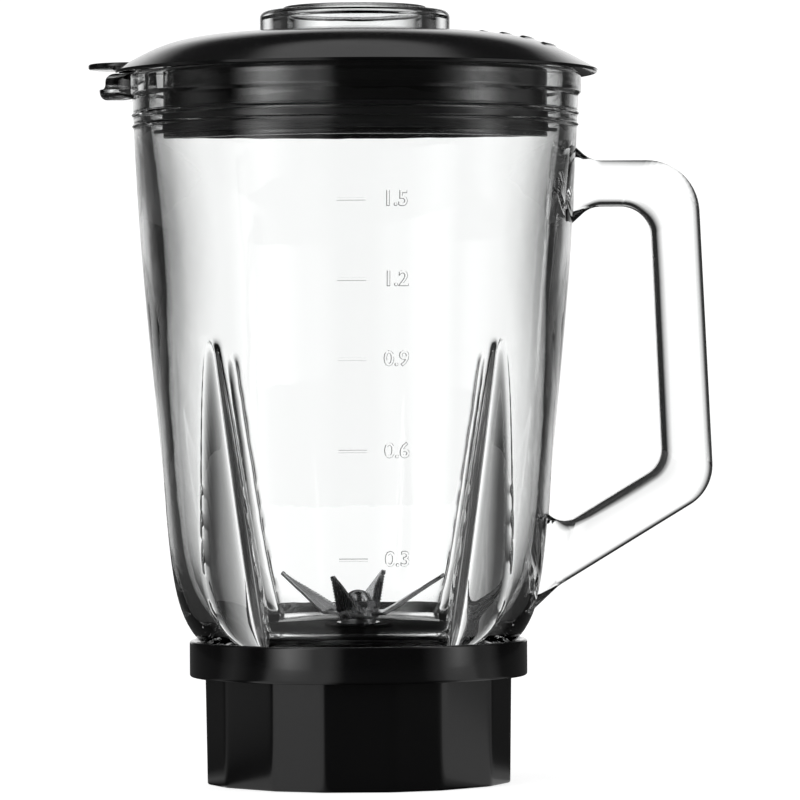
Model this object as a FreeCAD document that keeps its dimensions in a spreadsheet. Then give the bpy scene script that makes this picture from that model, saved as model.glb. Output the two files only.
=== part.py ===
import FreeCAD, Part
import math
import os
import Sketcher

# Glass blender jug with a screw-on base collar, a knife unit, a lid and a measuring cap.
# Frame: origin on the jug's axis at the collar's foot, +Z up, +X towards the handle, -X the spout.
# Lengths are millimetres and angles are degrees.

Vector = FreeCAD.Vector
UP = Vector(0, 0, 1)
doc = FreeCAD.newDocument("blender_jug")

# ---------------------------------------------------------------- driving dimensions

DIMENSIONS = {
    # glass jug: neck, then the outer wall from foot to rim, each radius as a step from the last
    "neck_radius": 43.0,
    "neck_wall": 6.0,
    "neck_head_height": 37.5,
    "neck_flare": 3.6,
    "foot_height": 47.7,
    "foot_step": 9.8,
    "shoulder_height": 57.9,
    "shoulder_step": 4.6,
    "waist_height": 67.5,
    "waist_step": 1.9,
    "lower_height": 95.0,
    "lower_step": 2.6,
    "belly_height": 133.0,
    "belly_step": 3.6,
    "upper_drop": 33.0,
    "upper_step": 3.3,
    "throat_drop": 22.5,
    "throat_step": 1.9,
    "rim_height": 226.5,
    "rim_drop": 7.9,
    "rim_step": 1.6,
    "rim_edge": 1.6,
    "relief_drop": 15.2,
    "relief_gap": 3.6,
    "relief_depth": 0.6,
    # the jug's walls, from the floor up
    "floor_height": 45.5,
    "bowl_height": 50.7,
    "bowl_wall": 5.8,
    "floor_edge_height": 60.0,
    "floor_edge_wall": 4.7,
    "inner_waist_height": 74.0,
    "waist_wall": 3.4,
    "lower_wall": 4.0,
    "belly_wall": 5.1,
    "inner_upper_drop": 24.0,
    "upper_wall": 6.6,
    "throat_wall": 5.7,
    "rim_wall": 5.9,
    "rib_top_height": 143.0,
    "rib_foot_rise": 0.4,
    "rib_foot_width": 21.0,
    # glass handle and spout
    "handle_drop": 28.5,
    "handle_stand": 43.5,
    "handle_elbow_stand": 51.9,
    "handle_elbow_height": 92.6,
    "handle_foot_stand": 1.1,
    "handle_foot_height": 59.0,
    "handle_bar_height": 14.6,
    "handle_grip_width": 16.4,
    "handle_strut_width": 15.6,
    "handle_depth": 17.0,
    "handle_edge_round": 4.0,
    "handle_upper_bend": 17.0,
    "handle_lower_bend": 15.0,
    "handle_root_flare": 4.5,
    "spout_overhang": 9.5,
    "spout_width": 27.0,
    "spout_drop": 8.3,
    "spout_edge_round": 2.6,
    "spout_channel_width": 15.0,
    "spout_channel_depth": 5.0,
    # scale marks on the glass
    "mark_width": 8.8,
    "mark_thickness": 0.9,
    "mark_relief": 0.35,
    # screw joint between the collar and the jug's neck: three lugs on each
    "screw_lead": 12.0,
    "lug_span": 50.0,
    "lug_height": 3.0,
    "lug_depth": 1.6,
    "lug_side_gap": 0.6,
    "lug_tip_gap": 0.5,
    "lug_clearance": 0.3,
    "jug_lug_rise": 2.8,
    # base collar: smooth ring on a skirt with sixteen facets, wide and narrow in turn
    "collar_height": 45.5,
    "ring_foot_height": 33.9,
    "ring_wall": 1.6,
    "ring_edge_round": 0.8,
    "mouth_clearance": 0.4,
    "mouth_foot_height": 38.0,
    "skirt_wall": 4.7,
    "skirt_draft": 0.5,
    "wide_facet_angle": 25.5,
    "recess_wall": 4.4,
    "foot_recess_depth": 6.0,
    "socket_step": 2.5,
    "web_foot_height": 17.0,
    "web_thickness": 3.0,
    "web_lip": 0.3,
    # knife housing
    "flange_clearance": 0.4,
    "flange_thickness": 2.2,
    "housing_clearance": 0.7,
    "housing_wall": 2.5,
    "housing_height": 42.6,
    "boss_wall": 4.0,
    "boss_foot_height": 19.5,
    "boss_rise": 2.0,
    "bush_wall": 3.0,
    "bush_length": 7.0,
    "seal_thickness": 1.8,
    "gasket_thickness": 1.9,
    "gasket_outer_inset": 0.4,
    "gasket_inner_inset": 0.6,
    "gasket_gap": 0.1,
    # knife spindle and what it carries: each wall is outside the spindle
    "spindle_radius": 4.0,
    "spindle_edge": 0.6,
    "running_clearance": 0.05,
    "spindle_foot_height": 7.4,
    "washer_thickness": 0.6,
    "washer_wall": 1.0,
    "seat_wall": 1.8,
    "seat_length": 2.8,
    "blade_thickness": 1.3,
    "blade_hub_wall": 2.6,
    "nut_wall": 1.0,
    "nut_height": 2.6,
    "nut_dome_wall": 0.4,
    "circlip_wall": 2.0,
    "circlip_thickness": 0.9,
    "coupling_radius": 15.0,
    "coupling_thickness": 3.2,
    "coupling_gap": 0.2,
    "coupling_hub_length": 1.0,
    "coupling_hub_wall": 2.4,
    "coupling_dog_height": 4.6,
    "coupling_dog_length": 6.0,
    "coupling_dog_inset": 0.4,
    "coupling_dog_angle": 19.0,
    # lid
    "brim_overhang": 5.3,
    "brim_drop": 0.4,
    "brim_edge": 1.0,
    "crown_rise": 12.5,
    "crown_land": 3.2,
    "crown_shoulder_inset": 14.0,
    "crown_shoulder_fall": 4.64,
    "crown_skirt_inset": 5.2,
    "crown_skirt_fall": 9.03,
    "crown_shoulder_lean": 0.6,
    "brim_lean": 0.4,
    "lid_wall": 2.0,
    "rim_gap": 0.35,
    "plug_gap": 3.6,
    "plug_drop": 22.1,
    "plug_seat_overlap": 2.0,
    "plug_seat_fall": 8.0,
    "plug_wall_fall": 5.4,
    "seal_groove_rise": 1.8,
    "seal_groove_length": 8.4,
    "seal_groove_depth": 1.2,
    "seal_gap": 0.5,
    "seal_side_gap": 0.1,
    "seal_band": 0.2,
    "seal_lip_thickness": 1.2,
    "filler_radius": 24.8,
    "filler_wall": 2.2,
    "filler_drop": 5.5,
    "tab_overhang": 7.7,
    "tab_width": 28.0,
    "tab_rise": 3.2,
    "tab_thickness": 1.7,
    "spout_notch_gap": 0.8,
    "grip_rib_height": 0.6,
    "grip_rib_width": 1.4,
    "grip_rib_pitch": 7.0,
    "grip_rib_angle": 44.0,
    # measuring cap
    "cap_clearance": 0.4,
    "cap_gap": 0.1,
    "cap_lip": 5.6,
    "cap_height": 8.6,
    "cap_edge_round": 2.2,
    "cap_wall": 2.8,
    "cap_top_thickness": 2.6,
    "cap_step_width": 7.4,
    "cap_step_height": 1.4,
    "cap_drop": 21.1,
}

sheet = doc.addObject("Spreadsheet::Sheet", "sizes")
for row, (alias, number) in enumerate(DIMENSIONS.items(), start=1):
    sheet.set("A%d" % row, alias)
    sheet.set("B%d" % row, str(number))
    sheet.setAlias("B%d" % row, alias)
doc.recompute()


class Size:
    """A length as the sheet gives it: the text that binds it and its value now."""

    def __init__(self, text, value):
        self.text = text
        self.value = value

    def _join(self, sign, other, value):
        text = other.text if isinstance(other, Size) else repr(other)
        return Size("(%s %s %s)" % (self.text, sign, text), value)

    def __add__(self, other):
        return self._join("+", other, self.value + float(other))

    def __sub__(self, other):
        return self._join("-", other, self.value - float(other))

    def __mul__(self, other):
        return self._join("*", other, self.value * float(other))

    def __truediv__(self, other):
        return self._join("/", other, self.value / float(other))

    def __float__(self):
        return float(self.value)


class Sizes:
    """The sheet's cells by name, and the sizes that follow from them."""

    def __getattr__(self, alias):
        return Size("sizes." + alias, float(sheet.get(alias)))


d = Sizes()
ZERO = Size("0", 0.0)

# ---------------------------------------------------------------- sizes that follow from others

# the jug's outer wall steps out from the neck, and each inner radius is a wall less than it
d.foot_radius = d.neck_radius + d.foot_step
d.shoulder_radius = d.foot_radius + d.shoulder_step
d.waist_radius = d.shoulder_radius + d.waist_step
d.lower_radius = d.waist_radius + d.lower_step
d.belly_radius = d.lower_radius + d.belly_step
d.upper_radius = d.belly_radius + d.upper_step
d.throat_radius = d.upper_radius + d.throat_step
d.rim_radius = d.throat_radius + d.rim_step
d.neck_bore_radius = d.neck_radius - d.neck_wall
d.bowl_radius = d.foot_radius - d.bowl_wall
d.floor_edge_radius = d.shoulder_radius - d.floor_edge_wall
d.inner_waist_radius = d.waist_radius - d.waist_wall
d.inner_lower_radius = d.lower_radius - d.lower_wall
d.inner_belly_radius = d.belly_radius - d.belly_wall
d.inner_upper_radius = d.upper_radius - d.upper_wall
d.inner_throat_radius = d.throat_radius - d.throat_wall
d.inner_rim_radius = d.rim_radius - d.rim_wall
d.rib_foot_radius = d.neck_bore_radius + d.rib_foot_rise

# the jug's upper levels hang from its rim
d.throat_height = d.rim_height - d.throat_drop
d.upper_height = d.throat_height - d.upper_drop
d.inner_upper_height = d.throat_height - d.inner_upper_drop
d.rim_foot_height = d.rim_height - d.rim_drop
d.relief_height = d.rim_height - d.relief_drop
d.spout_foot_height = d.rim_height - d.spout_drop
d.spout_reach = d.rim_radius + d.spout_overhang
d.handle_top_height = d.rim_height - d.handle_drop

# the handle stands off the wall beside it
d.handle_reach = d.belly_radius + d.handle_stand
d.handle_elbow_reach = d.lower_radius + d.handle_elbow_stand
d.handle_foot_reach = d.shoulder_radius + d.handle_foot_stand

# the collar's bores clear the neck and its lugs, and its walls stand outside them
d.collar_bore_radius = d.neck_radius + d.lug_depth + d.lug_side_gap
d.mouth_radius = d.foot_radius - d.mouth_clearance
d.ring_radius = d.mouth_radius + d.ring_wall
d.skirt_head_radius = d.collar_bore_radius + d.skirt_wall
d.skirt_foot_radius = d.skirt_head_radius - d.skirt_draft
d.foot_recess_radius = d.skirt_foot_radius - d.recess_wall
d.socket_radius = d.foot_recess_radius - d.socket_step

# the knife housing stands on the collar's shelf, inside the neck, with the gasket round it
d.housing_radius = d.neck_bore_radius - d.housing_clearance
d.web_hole_radius = d.housing_radius - d.web_lip
d.flange_radius = d.collar_bore_radius - d.flange_clearance
d.gasket_outer_radius = d.neck_radius - d.gasket_outer_inset
d.gasket_inner_radius = d.neck_bore_radius + d.gasket_inner_inset
d.bush_radius = d.spindle_radius + d.bush_wall
d.boss_radius = d.bush_radius + d.boss_wall
d.boss_head_height = d.housing_height + d.boss_rise
shelf_height = d.web_foot_height + d.web_thickness
flange_head = shelf_height + d.flange_thickness
gasket_head = flange_head + d.gasket_thickness
d.neck_foot_height = gasket_head + d.gasket_gap
d.jug_lug_height = d.neck_foot_height + d.jug_lug_rise

# the spindle's pieces fit round it and stack along it
bore_radius = d.spindle_radius + d.running_clearance
d.seat_radius = d.spindle_radius + d.seat_wall
d.blade_hub_radius = d.spindle_radius + d.blade_hub_wall
d.blade_washer_radius = d.spindle_radius + d.washer_wall
d.nut_width = (d.spindle_radius + d.nut_wall) * 2
d.nut_dome_radius = d.spindle_radius + d.nut_dome_wall
d.circlip_radius = d.spindle_radius + d.circlip_wall
d.coupling_hub_radius = d.spindle_radius + d.coupling_hub_wall
seat_foot = d.boss_head_height + d.washer_thickness
hub_height = seat_foot + d.seat_length
blades_head = hub_height + d.blade_thickness * 3
nut_foot = blades_head + d.washer_thickness
nut_head = nut_foot + d.nut_height
clip_head = d.boss_foot_height - d.washer_thickness
clip_foot = clip_head - d.circlip_thickness
coupling_head = clip_foot - d.coupling_gap
coupling_foot = coupling_head - d.coupling_thickness
coupling_hub_foot = coupling_foot - d.coupling_hub_length

# the lid sits on the rim with its plug and seal inside the throat, and the cap sits on the lid
d.brim_radius = d.rim_radius + d.brim_overhang
d.brim_foot_height = d.rim_height - d.brim_drop
rest_on_rim = d.rim_height + d.rim_gap
d.crown_height = d.rim_height + d.crown_rise
d.plug_radius = d.inner_throat_radius - d.plug_gap
d.plug_foot_height = d.rim_height - d.plug_drop
d.seal_groove_height = d.plug_foot_height + d.seal_groove_rise
d.seal_lip_radius = d.inner_throat_radius - d.seal_gap
d.filler_foot_height = d.rim_height - d.filler_drop
d.tab_reach = d.brim_radius + d.tab_overhang
d.tab_height = d.rim_height + d.tab_rise
d.cap_tube_radius = d.filler_radius - d.cap_clearance
d.cap_bore_radius = d.cap_tube_radius - d.cap_wall
d.cap_radius = d.filler_radius + d.cap_lip
d.crown_radius = d.cap_radius + d.crown_land
cap_foot = d.crown_height + d.cap_gap
cap_head = cap_foot + d.cap_height
d.cap_foot_height = cap_foot - d.cap_drop

nodes = {}


# ---------------------------------------------------------------- makers

def turned(name, corners, full=True):
    """Return a body turned about Z from the corners (radius, height) of its section."""
    body = doc.addObject("PartDesign::Body", name)
    plane = [o for o in body.Origin.OriginFeatures if o.Role == "XZ_Plane"][0]
    sketch = body.newObject("Sketcher::SketchObject", name + "_section")
    sketch.AttachmentSupport = (plane, [""])
    sketch.MapMode = "FlatFace"
    count = len(corners)
    places = [Vector(float(radius), float(height), 0) for radius, height in corners]
    for index in range(count):
        sketch.addGeometry(Part.LineSegment(places[index], places[(index + 1) % count]), False)
    for index in range(count):
        sketch.addConstraint(Sketcher.Constraint("Coincident", index, 2, (index + 1) % count, 1))
    for index, (radius, height) in enumerate(corners):
        for kind, size in (("DistanceX", radius), ("DistanceY", height)):
            spot = sketch.addConstraint(
                Sketcher.Constraint(kind, -1, 1, index, 1, float(size)))
            if size.text != "0":
                sketch.setExpression("Constraints[%d]" % spot, size.text)
    turn = body.newObject("PartDesign::Revolution", name + "_turn")
    turn.Profile = sketch
    turn.ReferenceAxis = (sketch, ["V_Axis"])
    turn.Angle = 360.0
    body.Tip = turn
    doc.recompute()
    if full:
        nodes[name] = body
    return body


def ring(name, inner, outer, foot, head):
    """Return a plain ring or sleeve between two radii and two heights."""
    return turned(name, [(inner, foot), (outer, foot), (outer, head), (inner, head)])


def rounded(body, size, chosen):
    """Round the body's circular edges that the function chosen(radius, height) picks."""
    names = []
    for index, edge in enumerate(body.Shape.Edges, start=1):
        if isinstance(edge.Curve, Part.Circle) and chosen(edge.Curve.Radius, edge.Curve.Center.z):
            names.append("Edge%d" % index)
    before = body.Tip
    fillet = body.newObject("PartDesign::Fillet", body.Name + "_round")
    fillet.Base = (before, names)
    fillet.setExpression("Radius", size.text)
    body.Tip = fillet
    doc.recompute()
    return body


def solid(name, shape):
    """Store one clean solid as a sub-part of its own."""
    feature = doc.addObject("Part::Feature", name)
    feature.Shape = shape.removeSplitter()
    feature.Placement = FreeCAD.Placement()
    nodes[name] = feature
    return feature


def polar(radius, angle, height=0.0):
    """Return the point at a radius, an angle from +X and a height."""
    turn = math.radians(angle)
    return Vector(radius * math.cos(turn), radius * math.sin(turn), height)


def prism(points, direction):
    """Return the straight prism on a closed outline of points."""
    outline = Part.makePolygon(list(points) + [points[0]])
    return Part.Face(outline).extrude(direction)


def cylinder(radius, foot, head):
    """Return a cylinder about Z between two heights."""
    return Part.makeCylinder(float(radius), float(head) - float(foot), Vector(0, 0, float(foot)))


def filleted_outline(corners):
    """Return a closed wire in the XZ plane; each corner is (x, z, radius of its bend)."""
    count = len(corners)
    edges = []
    start = None
    first = None
    for index, (x, z, bend) in enumerate(corners):
        here = Vector(x, 0, z)
        back = Vector(corners[index - 1][0], 0, corners[index - 1][1]) - here
        ahead = Vector(corners[(index + 1) % count][0], 0, corners[(index + 1) % count][1]) - here
        half = back.getAngle(ahead) / 2
        back.normalize()
        ahead.normalize()
        reach = bend / math.tan(half)
        enter = here + back * reach
        leave = here + ahead * reach
        if start is not None and (enter - start).Length > 1e-6:
            edges.append(Part.makeLine(start, enter))
        if bend > 0:
            inward = (back + ahead).normalize()
            centre = here + inward * (bend / math.sin(half))
            edges.append(Part.Arc(enter, centre - inward * bend, leave).toShape())
        start = leave
        first = enter if first is None else first
    edges.append(Part.makeLine(start, first))
    return Part.Wire(edges)


def screw_lugs(inner, outer, foot, height):
    """Return three solid lugs between two radii that climb with the screw's lead."""
    lead = float(d.screw_lead)
    span = float(d.lug_span)
    climb = lead * span / 360
    spine = Part.makeHelix(lead, climb, outer)
    section = Part.makePolygon([
        Vector(inner, 0, -height / 2), Vector(outer, 0, -height / 2),
        Vector(outer, 0, height / 2), Vector(inner, 0, height / 2),
        Vector(inner, 0, -height / 2)])
    lug = Part.Wire(spine.Edges).makePipeShell([section], True, True)
    lug.translate(Vector(0, 0, foot + height / 2 - climb / 2))
    lug.rotate(Vector(), UP, -span / 2)
    lugs = []
    for turn in range(3):
        copy = lug.copy()
        copy.rotate(Vector(), UP, 30 + 120 * turn)
        lugs.append(copy)
    return lugs


# ---------------------------------------------------------------- base collar

def make_collar():
    """Make the collar: ring, sixteen-sided skirt, bores and three inner lugs."""
    ring_body = turned("collar_ring", [
        (ZERO, d.ring_foot_height), (d.ring_radius, d.ring_foot_height),
        (d.ring_radius, d.collar_height), (ZERO, d.collar_height)], full=False)
    rounded(ring_body, d.ring_edge_round, lambda radius, height: radius > float(d.skirt_head_radius))
    wide = float(d.wide_facet_angle)
    angles = []
    for turn in range(8):
        middle = -90 + 45 * turn
        angles += [middle - wide / 2, middle + wide / 2]
    outlines = []
    for radius, height in ((d.skirt_foot_radius, ZERO),
                           (d.skirt_head_radius, d.ring_foot_height + 1.0)):
        points = [polar(float(radius), angle, float(height)) for angle in angles]
        outlines.append(Part.makePolygon(points + [points[0]]))
    skirt = Part.makeLoft(outlines, True, True)
    upright = [e for e in skirt.Edges if abs(e.BoundBox.ZLength) > float(d.web_foot_height)]
    skirt = skirt.makeFillet(float(d.ring_edge_round), upright)
    bores = turned("collar_bores", [
        (ZERO, ZERO - 1.0), (d.foot_recess_radius, ZERO - 1.0),
        (d.foot_recess_radius, d.foot_recess_depth), (d.socket_radius, d.foot_recess_depth),
        (d.socket_radius, d.web_foot_height), (d.web_hole_radius, d.web_foot_height),
        (d.web_hole_radius, shelf_height), (d.collar_bore_radius, shelf_height),
        (d.collar_bore_radius, d.mouth_foot_height), (d.mouth_radius, d.collar_height),
        (d.mouth_radius, d.collar_height + 1.0), (ZERO, d.collar_height + 1.0)], full=False)
    shell = ring_body.Shape.fuse(skirt).cut(bores.Shape)
    foot = float(d.jug_lug_height + d.lug_height + d.lug_clearance)
    inner = float(d.neck_radius + d.lug_tip_gap)
    lugs = screw_lugs(inner, float(d.collar_bore_radius) + 1.0, foot, float(d.lug_height))
    solid("base_collar", shell.fuse(lugs))


make_collar()

# ---------------------------------------------------------------- knife housing in the collar

turned("blade_carrier", [
    (d.bush_radius, d.boss_foot_height), (d.boss_radius, d.boss_foot_height),
    (d.boss_radius, d.housing_height - d.housing_wall),
    (d.housing_radius - d.housing_wall, d.housing_height - d.housing_wall * 1.8),
    (d.housing_radius - d.housing_wall, shelf_height), (d.flange_radius, shelf_height),
    (d.flange_radius, flange_head), (d.housing_radius, flange_head),
    (d.housing_radius, d.housing_height - d.housing_wall * 0.8), (d.boss_radius, d.housing_height),
    (d.boss_radius, d.boss_head_height), (d.bush_radius, d.boss_head_height)])
ring("lower_bush", bore_radius, d.bush_radius, d.boss_foot_height,
     d.boss_foot_height + d.bush_length)
seal_foot = d.boss_head_height - d.seal_thickness
ring("upper_bush", bore_radius, d.bush_radius, seal_foot - d.bush_length, seal_foot)
ring("shaft_seal", bore_radius, d.bush_radius, seal_foot, d.boss_head_height)
ring("jug_gasket", d.gasket_inner_radius, d.gasket_outer_radius, flange_head, gasket_head)

# ---------------------------------------------------------------- spindle and its small parts

turned("spindle", [
    (ZERO, d.spindle_foot_height), (d.spindle_radius - d.spindle_edge, d.spindle_foot_height),
    (d.spindle_radius, d.spindle_foot_height + d.spindle_edge), (d.spindle_radius, nut_head),
    (ZERO, nut_head)])
ring("lower_thrust_washer", bore_radius, d.bush_radius, clip_head, d.boss_foot_height)
ring("upper_thrust_washer", bore_radius, d.bush_radius, d.boss_head_height, seat_foot)
ring("blade_seat", d.spindle_radius, d.seat_radius, seat_foot, hub_height)
ring("blade_washer", d.spindle_radius, d.blade_washer_radius, blades_head, nut_foot)


def make_circlip():
    """Make the open spring ring below the lower thrust washer."""
    clip = cylinder(d.circlip_radius, clip_foot, clip_head)
    clip = clip.cut(cylinder(d.spindle_radius, clip_foot, clip_head))
    reach = float(d.circlip_radius) + 1
    gap = float(d.spindle_radius)
    mouth = Part.makeBox(reach, gap, float(d.circlip_thickness),
                         Vector(0, -gap / 2, float(clip_foot)))
    solid("retaining_ring", clip.cut(mouth))


def hexagon_nut(name, foot, head, dome=None):
    """Make a hexagon nut on the spindle, with a rounded cap over it when dome is given."""
    corner = float(d.nut_width) / math.sqrt(3)
    nut = prism([polar(corner, 60 * side, float(foot)) for side in range(6)],
                UP * float(head - foot))
    if dome:
        base = float(head - d.spindle_edge)
        ball = Part.makeSphere(float(dome), Vector(0, 0, base))
        nut = nut.fuse(ball.cut(cylinder(dome * 2, base - float(dome) * 2, base)))
    solid(name, nut.cut(cylinder(d.spindle_radius, foot - 1.0, head)))


def make_coupling():
    """Make the dog coupling: a disc on a hub with six dogs that point down."""
    disc = cylinder(d.coupling_radius, coupling_foot, coupling_head)
    hub = cylinder(d.coupling_hub_radius, coupling_hub_foot, coupling_head)
    inner = float(d.coupling_radius - d.coupling_dog_length)
    outer = float(d.coupling_radius - d.coupling_dog_inset)
    half = float(d.coupling_dog_angle) / 2
    level = float(coupling_foot)
    dogs = []
    for turn in range(6):
        angle = 60 * turn + 30
        points = [polar(inner, angle - half, level), polar(outer, angle - half, level),
                  polar(outer, angle + half, level), polar(inner, angle + half, level)]
        dogs.append(prism(points, UP * -float(d.coupling_dog_height)))
    bore = cylinder(d.spindle_radius, coupling_hub_foot - 1.0, coupling_head)
    solid("drive_coupling", disc.fuse([hub] + dogs).cut(bore))


make_circlip()
make_coupling()
washer_foot = coupling_hub_foot - d.washer_thickness
ring("coupling_washer", d.spindle_radius, d.coupling_hub_radius, washer_foot, coupling_hub_foot)
hexagon_nut("coupling_nut", washer_foot - d.nut_height, washer_foot)
hexagon_nut("blade_nut", nut_foot, nut_head, dome=d.nut_dome_radius)


# ---------------------------------------------------------------- knives

# Each arm: (direction, tilt up, skew of the bend line, hub to bend, length, root, tip).
KNIVES = {
    "lower_blade": [(268, 16, 0, 1.4, 15.0, 10.5, 1.6), (88, 12, 0, 1.4, 17.0, 10.5, 1.6)],
    "middle_blade": [(0, 38, 0, 1.8, 24.4, 10.0, 1.8), (156, 41, 30, 1.8, 24.0, 10.0, 1.8)],
    "upper_blade": [(66, 72, 0, 0.2, 15.2, 8.8, 1.2), (246, 72, 0, 0.2, 14.0, 8.8, 1.2)],
}
TOOTH_PITCH = 1.15
TOOTH_DEPTH = 0.5
TOOTH_SLOPE = 0.7


def blade_arm(direction, tilt, skew, stand, length, root, tip, level):
    """Return one bent-up arm: a plate with a toothed leading edge and a tapering back.

    The bend line crosses the arm at right angles, turned by the skew, outside the hub.
    """
    thick = float(d.blade_thickness)
    bend = float(d.blade_hub_radius) + stand
    half = root / 2
    lean = math.tan(math.radians(skew))
    teeth = int((length - 2 - half * lean) / TOOTH_PITCH)
    edge = [Vector(-half * lean, -half, 0)]
    for tooth in range(teeth):
        along = 1 + tooth * TOOTH_PITCH
        edge.append(Vector(along, -half, 0))
        edge.append(Vector(along + TOOTH_PITCH * TOOTH_SLOPE, TOOTH_DEPTH - half, 0))
    edge.append(Vector(length, -half, 0))
    edge.append(Vector(length, tip - half, 0))
    edge.append(Vector(half * lean, half, 0))
    plate = prism([point - UP * (thick / 2) for point in edge], UP * thick)
    bend_line = Vector(lean, 1, 0).normalize()
    plate.rotate(Vector(), bend_line, -tilt)
    reach = half * math.sqrt(1 + lean * lean)
    hinge = Part.makeCylinder(thick / 2, reach * 2, bend_line * -reach, bend_line)
    flat = prism([Vector(-bend, -half, -thick / 2), Vector(-half * lean, -half, -thick / 2),
                  Vector(half * lean, half, -thick / 2), Vector(-bend, half, -thick / 2)],
                 UP * thick)
    arm = plate.fuse([hinge, flat])
    arm.translate(Vector(bend, 0, level))
    arm.rotate(Vector(), UP, direction)
    return arm


def make_knife(name, arms, foot):
    """Make one knife: a flat hub with its arms, on the spindle."""
    thick = float(d.blade_thickness)
    hub = cylinder(d.blade_hub_radius, foot, foot + thick)
    shape = hub.fuse([blade_arm(*arm, level=foot + thick / 2) for arm in arms])
    # a steeper arm of a knife above stays clear because each hub lies on the one below
    solid(name, shape.cut(cylinder(d.spindle_radius, foot - 30, foot + 30)))


for order, (knife, arms) in enumerate(KNIVES.items()):
    make_knife(knife, arms, float(hub_height) + order * float(d.blade_thickness))


# ---------------------------------------------------------------- glass jug

def curve(points):
    """Return a smooth edge through points (radius, height) in the XZ plane."""
    spline = Part.BSplineCurve()
    spline.interpolate([Vector(float(radius), 0, float(height)) for radius, height in points])
    return spline.toShape()


def turned_about_axis(edges):
    """Return the solid that closed edges in the XZ plane sweep about Z."""
    return Part.Face(Part.Wire(edges)).revolve(Vector(), UP, 360)


def lines(points):
    """Return straight edges through points (radius, height) in the XZ plane."""
    places = [Vector(float(radius), 0, float(height)) for radius, height in points]
    return [Part.makeLine(a, b) for a, b in zip(places, places[1:])]


def jug_radius(height):
    """Return the jug's outer radius at a height between its shoulder and its throat."""
    levels = [(d.shoulder_height, d.shoulder_radius), (d.waist_height, d.waist_radius),
              (d.lower_height, d.lower_radius), (d.belly_height, d.belly_radius),
              (d.upper_height, d.upper_radius), (d.throat_height, d.throat_radius)]
    for (low, low_radius), (high, high_radius) in zip(levels, levels[1:]):
        if height <= float(high):
            share = (height - float(low)) / (float(high) - float(low))
            return float(low_radius) + share * (float(high_radius) - float(low_radius))
    return float(d.throat_radius)


def jug_outside():
    """Return the jug's outer form, solid, without its handle and spout."""
    flare = (d.neck_radius + d.neck_flare, d.neck_head_height + d.neck_flare)
    brow = d.rim_radius - d.rim_edge * 0.625
    body = curve([flare,
                  (d.foot_radius, d.foot_height), (d.shoulder_radius, d.shoulder_height),
                  (d.waist_radius, d.waist_height), (d.lower_radius, d.lower_height),
                  (d.belly_radius, d.belly_height), (d.upper_radius, d.upper_height),
                  (d.throat_radius, d.throat_height),
                  (brow, d.rim_foot_height)])
    foot = lines([(ZERO, d.neck_foot_height), (d.neck_radius, d.neck_foot_height),
                  (d.neck_radius, d.neck_head_height), flare])
    rim = lines([(brow, d.rim_foot_height), (d.rim_radius, d.rim_foot_height + d.rim_edge * 0.75),
                 (d.rim_radius, d.rim_height - d.rim_edge), (d.rim_radius - d.rim_edge, d.rim_height),
                 (ZERO, d.rim_height), (ZERO, d.neck_foot_height)])
    form = turned_about_axis(foot + [body] + rim)
    for side in (-1, 1):
        level = float(d.relief_height) + side * float(d.relief_gap) / 2
        bead = Part.makeTorus(float(d.throat_radius + d.relief_depth / 2), float(d.relief_depth),
                              Vector(0, 0, level))
        form = form.fuse(bead)
    return form


def jug_cavity():
    """Return the space inside the jug: bore, bowl, tapering wall and open mouth."""
    wall = curve([(d.neck_bore_radius, d.floor_height),
                  (d.bowl_radius, d.bowl_height),
                  (d.floor_edge_radius, d.floor_edge_height),
                  (d.inner_waist_radius, d.inner_waist_height),
                  (d.inner_lower_radius, d.lower_height),
                  (d.inner_belly_radius, d.belly_height),
                  (d.inner_upper_radius, d.inner_upper_height),
                  (d.inner_throat_radius, d.throat_height), (d.inner_rim_radius, d.rim_height)])
    sides = lines([(ZERO, d.neck_foot_height - 1.0), (d.neck_bore_radius, d.neck_foot_height - 1.0),
                   (d.neck_bore_radius, d.floor_height)])
    top = lines([(d.inner_rim_radius, d.rim_height), (d.inner_rim_radius, d.rim_height + 1.0),
                 (ZERO, d.rim_height + 1.0), (ZERO, d.neck_foot_height - 1.0)])
    return turned_about_axis(sides + [wall] + top)


def jug_rib(angle):
    """Return one inner rib: a wedge that grows from a point on the wall to the floor."""
    top = float(d.rib_top_height)
    foot = float(d.floor_height) - 3
    half = float(d.rib_foot_width) / 2
    wall_top = float(d.inner_belly_radius) + 1.2
    wall_foot = float(d.foot_radius) - 3
    low = [Vector(float(d.rib_foot_radius), 0, foot), Vector(wall_foot, half, foot),
           Vector(wall_foot, -half, foot)]
    high = [Vector(wall_top - 1.4, 0, top), Vector(wall_top, 0.9, top), Vector(wall_top, -0.9, top)]
    rib = Part.makeLoft([Part.makePolygon(low + [low[0]]), Part.makePolygon(high + [high[0]])],
                        True, True)
    rib.rotate(Vector(), UP, angle)
    return rib


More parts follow.
